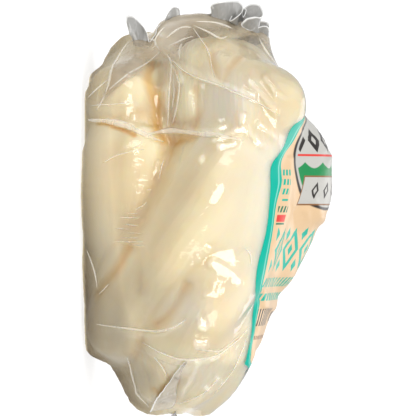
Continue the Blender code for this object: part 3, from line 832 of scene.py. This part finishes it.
WINDOWS = [
    (0.95, 0.8, [(-41.5, 15.8), (-37.0, 15.5), (-30.0, 17.0), (-24.0, 18.0), (-24.0, 21.2), (-34.0, 21.6),
                 (-40.5, 20.6)]),
    (0.75, 1.2, [(-45.5, 25.0), (-50.0, 26.5), (-49.5, 29.5), (-46.5, 31.0), (-42.5, 33.0), (-38.0, 33.8),
                 (-38.0, 28.5), (-42.0, 24.8)]),
    (0.92, 2.5, [(-49.0, 6.5), (-44.0, 8.2), (-39.0, 6.8), (-31.0, 4.6), (-30.0, -1.0), (-52.0, -1.0)]),
    (0.95, 1.0, [(-46.9, 31.4), (-47.7, 35.7), (-44.2, 41.9), (-41.8, 47.2), (-39.0, 51.5), (-33.0, 50.0),
                 (-33.0, 34.0), (-38.0, 31.5), (-43.0, 29.5)]),
    (0.80, 0.8, [(-34.5, 25.2), (-34.0, 29.5), (-26.0, 30.0), (-24.0, 28.0), (-25.5, 24.0), (-30.0, 24.8)]),
]


def inside_polygon(across, up, corners, soft):
    """1 inside an outline in a plane and 0 outside, with a soft edge: crossings of a ray to the right are
    counted, and the distance to the outline softens the result."""
    inside = np.zeros(len(across), bool)
    for (x0, z0), (x1, z1) in zip(corners, corners[1:] + corners[:1]):
        spans = (z0 > up) != (z1 > up)
        inside ^= spans & (across < (x1 - x0) * (up - z0) / np.where(z1 == z0, 1e-9, z1 - z0) + x0)
    edge = distance_to_route(across, up, np.array(corners + corners[:1], float))
    return np.clip(0.5 + np.where(inside, edge, -edge) / soft, 0, 1)


LEAST_MILK, HEAD_MILK = 0.02, 0.55          # how milky the film is where it touches, and free at the head
MILK_FROM_X, MILK_FULL_X = -34.0, -42.0
MILK_FROM_GAP, MILK_FULL_GAP = 0.8, 3.3
film_x, _, film_z = film_points.T
milk = (LEAST_MILK + HEAD_MILK * np.clip((MILK_FROM_X - film_x) / (MILK_FROM_X - MILK_FULL_X), 0, 1)
        * np.clip((film_gap - MILK_FROM_GAP) / (MILK_FULL_GAP - MILK_FROM_GAP), 0, 1))
for share, soft, corners in WEBS:
    milk = np.maximum(milk, share * near_side * inside_polygon(film_x, film_z, corners, soft))
for share, soft, corners in WINDOWS:
    milk *= 1 - share * near_side * inside_polygon(film_x, film_z, corners, soft)

# Spots where the film is crumpled finely and glitters, as (x, z, radius, depth), in millimetres.
CRUMPLED_SPOTS = [
    (-31.0, 27.5, 3.2, 1.0), (-26.5, 27.0, 2.2, 1.0), (-29.0, 12.0, 2.5, 0.5), (-27.0, 20.3, 1.4, 0.9),
    (22.5, 1.8, 2.4, 1.0), (38.3, 9.3, 2.0, 0.9), (-8.0, 17.5, 2.2, 0.6), (-4.0, 15.5, 2.2, 0.6),
    (6.0, 30.5, 2.4, 0.8), (38.0, 21.5, 2.0, 0.7), (47.0, 18.0, 2.0, 0.9), (-42.0, 14.0, 2.5, 0.5),
    (-46.5, 24.5, 4.5, 1.0), (-46.0, 30.0, 2.5, 0.6), (-33.0, 33.5, 1.6, 0.5),
    (-15.5, 14.5, 2.0, 0.45), (-9.0, 12.5, 2.6, 0.5), (-2.0, 11.0, 3.2, 0.6), (5.0, 10.0, 3.2, 0.6),
    (13.0, 19.5, 2.6, 0.5), (20.0, 15.5, 2.2, 0.5), (11.5, 32.0, 2.2, 0.6), (41.0, 34.0, 4.0, 0.4),
    (43.0, 27.0, 4.0, 0.4), (-26.0, 36.5, 2.4, 0.5), (-24.0, 33.0, 2.0, 0.5),
]
BAND_GLOW_REACH = 2.4                  # millimetres beside the near band, over which its painted teal glow in the film ends
BAND_GLOW_END = 37.0             # and how far along the pack it goes
WET_FULL, WET_REACH = 2.25, 9.0             # dull up to here over the lower rim, glossy this much higher
label_across, panel, band_half_width = label_place(film_points)
# Painted teal glow: how much of it the film has beside the near band.
band_glow = np.clip(1 + (panel + 1) * band_half_width / BAND_GLOW_REACH, 0, 1) ** 1.5 * (np.abs(film_x) < BAND_GLOW_END)
film_over_rim = film_z - np.interp(film_x, LOWER_RIM[:, 0], LOWER_RIM[:, 1])
wet = np.clip(1 - (film_over_rim - WET_FULL) / WET_REACH, 0, 1)
wet = wet ** 2 * (3 - 2 * wet)
bag = make_mesh("film_bag", film_points, box_faces, {"label": (film_x, label_across)},
                {"panel": np.clip(panel, -8, 8), "milk": milk, "band_glow": band_glow, "wet": wet,
                 "crumple": spotted(film_points, CRUMPLED_SPOTS)})
bag.data.materials.append(film_finish())
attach(bag, "root")
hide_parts("sealed_pack")

# ---------------------------------------------------------------------------------------------------------
# The pleats
# The film has more area than the cheese, so the vacuum has pinched the rest into thin raised pleats. They
# are the same film, doubled, and stand up by a few tenths of a millimetre.
# ---------------------------------------------------------------------------------------------------------
# Each pleat as (half width, height, points as (x, z) on the shown flank), in millimetres.
PLEATS = [
    (0.95, 0.60, [(-26, 0.9), (-25.7, 4.2), (-25.5, 7.1), (-24.5, 11.2), (-22.6, 15.3), (-21.3, 18.2),
                 (-20.3, 21)]),
    (0.95, 0.60, [(-23.3, 14.9), (-22.3, 16.9), (-22.9, 20), (-23.2, 23.2), (-22.6, 27.9), (-21.9, 34),
                 (-21.2, 38.4), (-20.5, 41.4)]),
    (0.30, 0.4, [(-43, 20.8), (-40.1, 22.2), (-34.6, 22.2), (-29.1, 22), (-24.1, 21.7)]),
    (0.30, 0.4, [(-40.1, 22.5), (-35.2, 24.6), (-31.1, 24.5), (-27.4, 23.7), (-24.7, 22.9)]),
    (0.22, 0.3, [(-37.4, 23), (-32.5, 23.4), (-28.1, 22.9)]),
    (0.26, 0.35, [(-44.1, 19), (-40.8, 22.8), (-38.3, 25.8), (-36.2, 30), (-34.5, 35.2), (-32.4, 39.7),
                  (-30.7, 43.7), (-28.4, 47.8), (-26.9, 50.4)]),
    (0.34, 0.4, [(-46.3, 10.7), (-42.8, 8.4), (-38.6, 7.6), (-34.5, 7), (-31.1, 5.7), (-28.1, 3.9)]),
    (0.22, 0.3, [(-36.2, 7.1), (-33.8, 4.2), (-31.2, 1.1)]),
    (0.22, 0.3, [(-43.5, 19), (-40.5, 16), (-37.2, 11.6), (-34.1, 8), (-32.4, 6.3)]),
    (0.16, 0.2, [(-29.5, 2.1), (-29.7, 6), (-29.9, 10.1), (-30.3, 13.4)]),
    (0.36, 0.4, [(25.6, 3.6), (26.2, 7.9), (26.6, 11.9), (27.1, 15.8), (27.3, 19.7), (26.6, 23.3),
                 (25.7, 25.1), (24.1, 27.4)]),
    (0.32, 0.4, [(30.2, 15.4), (32.5, 19.8), (34.3, 24.8), (34.4, 30.2), (33.5, 34.6), (31.6, 37.2),
                 (29.4, 39.8), (26.1, 42.3)]),
    (0.22, 0.3, [(31.9, 29.4), (32.3, 32.9), (32.2, 35.5), (28.5, 39.9)]),
    (0.30, 0.4, [(33.8, 11.4), (38.5, 12.1), (41.8, 12.8), (44.1, 13.3), (47.5, 16.2)]),
    (0.24, 0.3, [(33.9, 18.4), (36.6, 20.4), (39.2, 21.5)]),
    (0.24, 0.3, [(28.3, 41.9), (34.9, 39.4), (39.1, 36.9), (44.2, 32.5)]),
    (0.22, 0.3, [(46.4, 23.6), (43.6, 30.2), (39, 34.9)]),
    (0.18, 0.25, [(-14.9, 6.1), (-16.7, 9.3), (-17.7, 12.8), (-18.4, 16.6)]),
    (0.16, 0.2, [(-18.6, 13.2), (-19.8, 16.6)]),
    (0.22, 0.3, [(-11, 20.2), (-14.1, 20.7), (-15.8, 21.2)]),
    (0.14, 0.2, [(-3.2, 14.2), (-4.1, 16), (-5.2, 17.4)]),
    (0.14, 0.2, [(-1.2, 10.4), (-1.2, 15.8)]),
    (0.14, 0.2, [(4.8, 8.5), (4.9, 13), (4.7, 16.9)]),
    (0.14, 0.2, [(-8.1, 16.8), (-8.2, 18.4)]),
    (0.14, 0.2, [(0.5, 11.5), (0.8, 15.2)]),
    (0.10, 0.14, [(-2.4, 11.5), (-2.2, 15.0)]),
    (0.10, 0.14, [(1.5, 9.0), (1.7, 13.4)]),
    (0.10, 0.14, [(2.6, 12.0), (2.7, 16.5)]),
    (0.10, 0.14, [(3.8, 10.5), (3.9, 15.5)]),
    (0.10, 0.14, [(5.6, 12.5), (5.8, 17.0)]),
    (0.20, 0.3, [(6.6, 1.2), (9.4, 2.4), (13, 3.7), (16.9, 4.3)]),
    (0.22, 0.3, [(18.2, 4.6), (16.9, 6.1), (15.5, 7.5)]),
    (0.22, 0.3, [(6.3, 41.7), (8, 43), (11.1, 43.4)]),
    (0.26, 0.3, [(-43.7, 19.1), (-45.1, 18), (-46.5, 17.5), (-48.3, 18.4), (-50, 20)]),
    (0.30, 0.35, [(-46.9, 20.2), (-48.6, 22.2), (-49.8, 24.5), (-49.8, 26.9)]),
    (0.24, 0.3, [(-45.1, 21.1), (-45.8, 23.1), (-46.8, 25.1), (-47.5, 27.4)]),
    (0.26, 0.3, [(-47, 15.4), (-46.5, 17.1), (-45.1, 17.6), (-44.1, 16.6)]),
    (0.26, 0.3, [(-50.4, 27.2), (-48.6, 31.1), (-47, 34.2), (-47.6, 36.2)]),
    (0.20, 0.3, [(-51.3, 27.8), (-51.1, 32.2), (-50.3, 35.3), (-49.4, 37.4)]),
    (0.24, 0.3, [(-47.1, 44.1), (-45.2, 45), (-42.5, 46.8), (-39.5, 49.3)]),
    (0.24, 0.3, [(-40.8, 24.4), (-43.6, 24), (-45.7, 24.5)]),
    (0.20, 0.25, [(-49.7, 27.2), (-46.8, 29.2), (-44.7, 30.8), (-42.2, 32), (-39.3, 32.8),
                  (-36.2, 33.9)]),
    (0.24, 0.3, [(-31, 55.2), (-28.5, 55.6), (-26, 55.5)]),
]
FLANK_RAYS = 0.25               # a ray's sideways part past which its vertex counts as the flank's
CLOSENESS = 0.30                # square millimetres, over which a vertex's weight falls off
PLEAT_SECTION = np.linspace(-0.25, 1.25, 9) * np.pi         # the angles of a section's points
flank_vertices = {-1: film_points[directions[:, 1] < -FLANK_RAYS],
                  1: film_points[directions[:, 1] > FLANK_RAYS]}


def on_flank(across, up, side=-1):
    """Points of the film at given x and z, on the shown side or the far one: the near vertices' place,
    averaged by closeness. On the shown side x and z stay as given."""
    vertices = flank_vertices[side]
    gap = (across[:, None] - vertices[:, 0]) ** 2 + (up[:, None] - vertices[:, 2]) ** 2
    weight = np.exp(-(gap - gap.min(axis=1, keepdims=True)) / CLOSENESS)
    place = (weight @ vertices) / weight.sum(1, keepdims=True)
    return place if side > 0 else np.stack([across, place[:, 1], up], 1)


def pleat_strip(half_width, height, foot):
    """A rounded strip along a line on the film: each section is most of an ellipse, open towards the film,
    and shrinks to nothing at both ends."""
    tangent = np.gradient(foot, axis=0)
    tangent /= np.linalg.norm(tangent, axis=1, keepdims=True)
    outwards = foot - HEART
    outwards -= (outwards * tangent).sum(1, keepdims=True) * tangent
    outwards /= np.linalg.norm(outwards, axis=1, keepdims=True)
    side = np.cross(tangent, outwards)
    share = np.linspace(0, 1, len(foot))
    taper = np.clip(np.sin(np.pi * share), 0, 1) ** 0.6
    taper *= 0.85 + 0.15 * np.sin(share * len(foot) * 0.35 + half_width * 40)
    across, up = np.cos(PLEAT_SECTION) * half_width, np.sin(PLEAT_SECTION) * height
    points = (foot[:, None] + (taper[:, None] * across)[..., None] * side[:, None]
              + (taper[:, None] * up)[..., None] * outwards[:, None])
    return points.reshape(-1, 3), grid_faces(len(foot), len(PLEAT_SECTION))


def grid_faces(rows, columns):
    """Quads between neighbouring points of a grid with its rows one after another."""
    corner = (np.arange(rows - 1)[:, None] * columns + np.arange(columns - 1)).ravel()
    return np.stack([corner, corner + columns, corner + columns + 1, corner + 1], 1)


# A pale grey for the painted glints and the painted bright rim of doubled film.
FILM_PAINTED_LIGHT = (0.80, 0.80, 0.78)


def doubled_finish(name, colour, cover, rim, cut=False):
    """Doubled film: a translucent haze with a cover of its own, more at its rim, where it is seen on edge,
    with painted glints in streaks, and paler at its cut edge if it has one, as a painted bright rim."""
    finish = Finish(name)
    place = finish.place()
    streaks = finish.noise(finish.stretched(place, (60.0, 420.0, 420.0)), 1.0, 3.0, 0.6, 0.5)
    relief = finish.bump(0.12, 0.0006, streaks)
    edge_on = finish.add("ShaderNodeLayerWeight", None, {"Blend": 0.45, "Normal": relief}, 1)
    painted_glints = finish.noise(finish.stretched(place, (70.0, 460.0, 460.0)), 1.0, 1.0, 0.5, 0.8)
    body = cover * (0.80 + 0.35 * streaks.rise(0.3, 0.7)) + rim * edge_on.rise(0.35, 0.95)
    # Painted glints: streaks of the colour lightened towards white.
    colour = finish.blend(painted_glints.rise(0.58, 0.74) * 0.45, colour, FILM_PAINTED_LIGHT)
    if cut:
        # Painted light: the cut edge is lightened as a bright rim.
        painted_rim_light = finish.value("cut").rise(0.90, 0.98)
        colour = finish.blend(painted_rim_light, colour, FILM_PAINTED_LIGHT)
        body = body + 0.45 * painted_rim_light
    haze = finish.add("ShaderNodeBsdfPrincipled", None, {
        "Base Color": colour, "Roughness": 0.16, "Normal": relief, "IOR": 1.5, "Coat Weight": 0.5,
        "Coat Roughness": 0.05})
    clear = finish.add("ShaderNodeBsdfTransparent")
    return finish.show(finish.mix(finish.math("MINIMUM", body, 0.95), clear, haze))


strips = []
for number, (half_width, height, route) in enumerate(PLEATS):
    for side, (_, line) in zip((-1, 1), both_flanks(route)):
        if side < 0 or number % 3 != 2:         # the far flank has two pleats for every three
            line = smooth_route(line, 2)
            strips.append(pleat_strip(half_width, height, on_flank(line[:, 0], line[:, 1], side)))
# The seal's own two beads, on the wire that has held the film out.
weld = smooth_route(HEAD_SEAL, 8)
weld_out = weld - HEART
weld += weld_out / np.linalg.norm(weld_out, axis=1, keepdims=True) * SEAL_RADIUS
strips += [pleat_strip(0.35, 0.3, weld + (0.3, 0, 0)), pleat_strip(0.25, 0.3, weld + (1.6, -0.8, -0.4))]
pleat_points, pleat_faces, pleat_start = [], [], 0
for points, faces in strips:
    pleat_points.append(points)
    pleat_faces.append(faces + pleat_start)
    pleat_start += len(points)
pleats = make_mesh("film_pleats", np.concatenate(pleat_points), np.concatenate(pleat_faces))
pleats.data.materials.append(doubled_finish("pinched_film", (0.97, 0.93, 0.83), 0.33, 0.28))
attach(pleats, "root")
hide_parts("sealed_pack")

# ---------------------------------------------------------------------------------------------------------
# The head skirt
# The film past the head seal: two clear layers, welded and cut off. The heat has curled them into ears and
# ruffles, which stand up from the seal.
# ---------------------------------------------------------------------------------------------------------
# Places on the seal and the cut edge's place over each, as (x, y, z,  x, y, z), in millimetres.
SKIRT = [
    (-45.6, -11, 11.7,  -48.4, -12, 10.7), (-45.9, -11, 11.9,  -51.7, -12.5, 10),
    (-45.9, -11.5, 12.7,  -52.9, -11, 10.2), (-45.7, -11.5, 13.5,  -52.6, -9.5, 11.8),
    (-45.6, -12, 14.3,  -50.8, -10.5, 13.7), (-45.6, -12, 15.1,  -48.6, -12.5, 15.3),
    (-45.3, -11.5, 16.1,  -46.1, -12.5, 15.9), (-46.7, -10.5, 17,  -47.9, -11.5, 17.4),
    (-48.7, -9.5, 18,  -50.1, -10, 18), (-50.6, -8.5, 19.2,  -51.6, -9, 19.5),
    (-51.6, -8, 20.7,  -53.6, -9, 20.4), (-51.9, -7.5, 21.9,  -55.2, -8, 21.7),
    (-52, -7, 22.9,  -54.8, -6.5, 23.1), (-52.2, -7, 23.9,  -52.9, -7, 23.8),
    (-52.5, -6, 26.4,  -53.4, -6, 27), (-52.6, -5.5, 29.2,  -53.6, -5, 29.5),
    (-51.9, -5.5, 31.3,  -53.7, -6.5, 31.4), (-51.6, -5.5, 32.3,  -55.5, -7, 31.3),
    (-51.4, -5, 33.6,  -56.4, -7.5, 33), (-50.9, -4.5, 35.1,  -56.9, -6, 36),
    (-50.2, -4, 37.1,  -56.8, -3.5, 38.4), (-49.9, -4.5, 37.9,  -55, -5, 39.6),
    (-49.9, -5, 38.4,  -52.9, -7.5, 38.4), (-50.1, -5, 38.6,  -51.7, -7, 36.2),
    (-50.4, -4.5, 38.8,  -53.5, -4, 36.9), (-50.6, -4, 39.1,  -54.9, -1.5, 38.8),
    (-50.6, -3.5, 39.4,  -54.9, -2, 40.1), (-50.5, -3.5, 39.8,  -52.7, -6, 39.6),
    (-50.3, -3, 40.2,  -54.9, 0, 39.2), (-50, -2.5, 41.2,  -56.3, 1, 41.2),
    (-49.5, -2, 42.2,  -56, 0, 43.5), (-49.1, -2.5, 43,  -54.1, -3, 44.6),
    (-48.7, -3, 43.5,  -52.6, -6.5, 44.2), (-48.5, -3.5, 43.8,  -52.6, -8.5, 42.6),
    (-48.4, -3.5, 43.9,  -52, -9, 40.5), (-48.3, -3.5, 44.1,  -50.5, -8, 39.2),
    (-48.2, -3, 44.3,  -49.3, -6.5, 41.4), (-47.9, -2.5, 44.5,  -50.4, -5, 44.9),
    (-47.7, -1.5, 44.7,  -49.9, -3, 46), (-47.4, 0, 44.9,  -48.5, 0, 45.8),
    (-46.8, 5, 43.6,  -51.6, 5.6, 45.4), (-46.5, 9, 41.5,  -52.3, 10, 42.1),
    (-46, 12, 39.5,  -50.9, 13.8, 41.2), (-45.5, 15, 36.5,  -51.6, 16.5, 36.4),
    (-44, 17.5, 32.5,  -49.6, 20.2, 33.7), (-43, 19, 29,  -49.2, 20.3, 28.2),
    (-42, 20.2, 25,  -46.6, 22.8, 25.8), (-41, 21, 21.5,  -45, 21.6, 20.4),
]
STRIP_THICKNESS = 0.14
STRIP_COLUMNS = 18
STRIP_SUNK = 0.12               # a strip starts this share of its width inside the seal


def strip_between(pairs, steps, bulge, ripple, ripple_waves):
    """A strip from a root line to a free edge: points lie on straight lines between the two, bowed out by a
    half wave, with fine ripples along the strip that grow towards the free edge."""
    lines = smooth_route(pairs, steps)
    root, edge = lines[:, :3], lines[:, 3:]
    tangent = np.gradient(root + edge, axis=0)
    across = np.cross(tangent, edge - root)
    across /= np.maximum(np.linalg.norm(across, axis=1, keepdims=True), 1e-6)
    share = np.linspace(-STRIP_SUNK, 1, STRIP_COLUMNS)[None, :, None]
    rising = np.clip(share, 0, 1)
    turn = (np.arange(len(root)) / len(root) * 2 * np.pi * ripple_waves)[:, None, None]
    points = (root[:, None] + share * (edge - root)[:, None]
              + (bulge * np.sin(np.pi * rising) * np.sin(turn / 7 + 1)
                 + ripple * rising ** 1.5 * np.sin(turn + 2.0 * np.sin(turn / 5))) * across[:, None])
    return (points.reshape(-1, 3), grid_faces(len(root), STRIP_COLUMNS),
            np.tile(rising.ravel(), len(root)))


def add_strip(name, points, faces, cut, finish):
    """A strip as a piece of its own: two layers thick, with how near each point is to the cut edge."""
    strip = make_mesh(name, points, faces, None, {"cut": cut})
    layers = strip.modifiers.new("two layers", "SOLIDIFY")
    layers.thickness = STRIP_THICKNESS * MILLIMETRE
    layers.offset = 0.0
    strip.data.materials.append(finish)
    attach(strip, "root")
    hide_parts("sealed_pack")


welded_film = doubled_finish("welded_film", (0.320, 0.313, 0.295), 0.80, 0.12, True)
add_strip("head_skirt", *strip_between(SKIRT, 12, 0.5, 0.06, 34), welded_film)

# ---------------------------------------------------------------------------------------------------------
# The foot fin and its tail
# The film past the foot seal: a narrow welded fin. At the shown flank it ends in a ragged tail, which lies
# flat on the foot.
# ---------------------------------------------------------------------------------------------------------
# The fin as (x, y, z, width), near the film: its root is moved onto the film.
FOOT_FIN = [
    (47.0, -9, 22.5, 1.6), (48.5, -4, 21.5, 2.4), (49.0, 0, 21.0, 1.8), (48.2, 5, 21.5, 2.4),
    (45.5, 10, 22.5, 1.8), (41.0, 14.5, 23.5, 2.6), (37.0, 18, 24.5, 1.5),
]
FIN_SUNK = 0.3                  # the root lies this far inside the film
FIN_WAVE = 0.9                  # the free edge goes up and down by this from point to point
# The tail's two long edges on the flank, as (x, z,  x, z).
TAIL = [
    (35.1, 27.0,  35.2, 26.4), (37.5, 25.3,  37.5, 24.2), (41.7, 23.3,  41.7, 20.9),
    (44.0, 22.8,  44.9, 18.3), (46.0, 22.3,  46.6, 17.2), (47.6, 21.3,  48.6, 16.2),
]
TAIL_LIFTS = (0.5, 0.9)         # how far the two edges stand off the film
fin_line = np.array(FOOT_FIN)
fin_rays = (fin_line[:, :3] - HEART) / np.linalg.norm(fin_line[:, :3] - HEART, axis=1, keepdims=True)
fin_root = HEART + fin_rays * (film[np.argmax(fin_rays @ directions.T, axis=1), None] - FIN_SUNK)
fin_rise = (-1.0) ** np.arange(len(fin_line))[:, None] * (0.0, 0.0, FIN_WAVE)
fin_pairs = np.hstack([fin_root, fin_root + fin_rays * fin_line[:, 3:] + fin_rise])
add_strip("foot_fin", *strip_between(fin_pairs, 12, 0.15, 0.05, 14), welded_film)
tail_lines = np.array(TAIL)
tail_edges = [on_flank(*tail_lines[:, columns].T) - (0, lift, 0)
              for columns, lift in zip(([0, 1], [2, 3]), TAIL_LIFTS)]
tail_film = doubled_finish("tail_film", (0.59, 0.54, 0.45), 0.55, 0.25, True)
add_strip("foot_tail", *strip_between(np.hstack(tail_edges), 10, 0.3, 0.12, 9), tail_film)

# ---------------------------------------------------------------------------------------------------------
# The floor, the lamps and the camera
# A flat sheet of pale paper, a white sky and four soft lamps: over the shown flank, behind and at each end.
# The camera looks at the flank from low down and is rolled a quarter turn, so that the printed front is at
# the picture's right.
# ---------------------------------------------------------------------------------------------------------
PAPER_REACH = 6.0               # metres from the middle to each side
PAPER_DROP = 0.0001             # metres under the pack's back
PAPER_LINES = 9


def pale_floor():
    """A flat sheet: a grid of points in the plane just under the pack."""
    lines = np.linspace(-PAPER_REACH, PAPER_REACH, PAPER_LINES)
    x, y = np.meshgrid(lines, lines, indexing="ij")
    points = np.stack([x, y, np.full_like(x, -PAPER_DROP)], -1).reshape(-1, 3) / MILLIMETRE
    sheet = make_mesh("floor", points, grid_faces(PAPER_LINES, PAPER_LINES))
    finish = Finish("pale_paper")
    tone = finish.noise(finish.place(), 3.0, 2.0)
    paper = finish.add("ShaderNodeBsdfPrincipled", None, {
        "Base Color": finish.blend(tone, (0.29, 0.29, 0.29), (0.31, 0.31, 0.31)), "Roughness": 0.9,
        "Emission Color": (1, 1, 1), "Emission Strength": 0.76})
    sheet.data.materials.append(finish.show(paper))


pale_floor()

# The lamps as (name, place, width, height, watts), in metres.
LAMPS = [
    ("key_lamp", (-0.04, -0.69, 0.54), 0.34, 0.26, 2.08),
    ("back_lamp", (0.10, 0.80, 0.75), 0.60, 0.60, 1.6),
    ("head_lamp", (-0.70, -0.50, 0.50), 0.40, 0.40, 1.5),
    ("foot_lamp", (0.70, -0.50, 0.50), 0.40, 0.40, 1.5),
]
LAMP_AIM = Vector((0.0, 0.0, 0.03))
for lamp_name, place, width, height, power in LAMPS:
    lamp = bpy.data.lights.new(lamp_name, "AREA")
    lamp.shape = "RECTANGLE"
    lamp.size, lamp.size_y, lamp.energy = width, height, power
    holder = bpy.data.objects.new(lamp_name, lamp)
    holder.location = place
    holder.rotation_euler = (Vector(place) - LAMP_AIM).to_track_quat("Z", "Y").to_euler()
    bpy.context.scene.collection.objects.link(holder)


SKY_LOW, SKY_HIGH = 0.68, 1.12  # the sky's strength at the horizon and overhead


def soft_sky():
    """A white sky that is brightest overhead, so that the floor is evenly pale and the sides are softer."""
    world = bpy.data.worlds.new("soft_sky")
    bpy.context.scene.world = world
    world.use_nodes = True
    nodes, links = world.node_tree.nodes, world.node_tree.links
    direction = nodes.new("ShaderNodeTexCoord")
    split = nodes.new("ShaderNodeSeparateXYZ")
    lift = nodes.new("ShaderNodeMapRange")
    lift.inputs["From Min"].default_value, lift.inputs["From Max"].default_value = 0.0, 1.0
    lift.inputs["To Min"].default_value, lift.inputs["To Max"].default_value = SKY_LOW, SKY_HIGH
    links.new(direction.outputs["Generated"], split.inputs[0])
    links.new(split.outputs["Z"], lift.inputs["Value"])
    links.new(lift.outputs["Result"], nodes["Background"].inputs["Strength"])
    nodes["Background"].inputs["Color"].default_value = (1, 1, 1, 1)


soft_sky()

PICTURE_SIDE = 416              # pixels
PIXEL = 0.2587                  # millimetres of the pack that one pixel shows
CENTRE_LINE_ROW, TABLE_COLUMN = 222, 85     # where the heart's x and the table lie in the picture
CAMERA_DISTANCE = 1.2
CAMERA_ELEVATION = math.radians(4)
NEAR_FLANK = 0.025              # the flank's distance from the middle, where the scale is read

upright = Vector((0, math.sin(CAMERA_ELEVATION), math.cos(CAMERA_ELEVATION)))
backward = Vector((0, -math.cos(CAMERA_ELEVATION), math.sin(CAMERA_ELEVATION)))
half_picture = PICTURE_SIDE / 2
pixel = PIXEL * MILLIMETRE
aim = (Vector(((half_picture - CENTRE_LINE_ROW) * pixel, 0, 0))
       + upright * ((half_picture - TABLE_COLUMN) * pixel - NEAR_FLANK * math.sin(CAMERA_ELEVATION)))
camera = bpy.data.cameras.new("camera")
camera.sensor_width = 36
camera.lens = camera.sensor_width * CAMERA_DISTANCE / (PICTURE_SIDE * pixel)
camera.clip_end = 20
camera_holder = bpy.data.objects.new("camera", camera)
turned = Matrix((upright, Vector((-1, 0, 0)), backward)).transposed().to_4x4()
turned.translation = aim + backward * CAMERA_DISTANCE
camera_holder.matrix_world = turned
bpy.context.scene.collection.objects.link(camera_holder)
bpy.context.scene.camera = camera_holder
bpy.context.scene.view_settings.view_transform = "Standard"
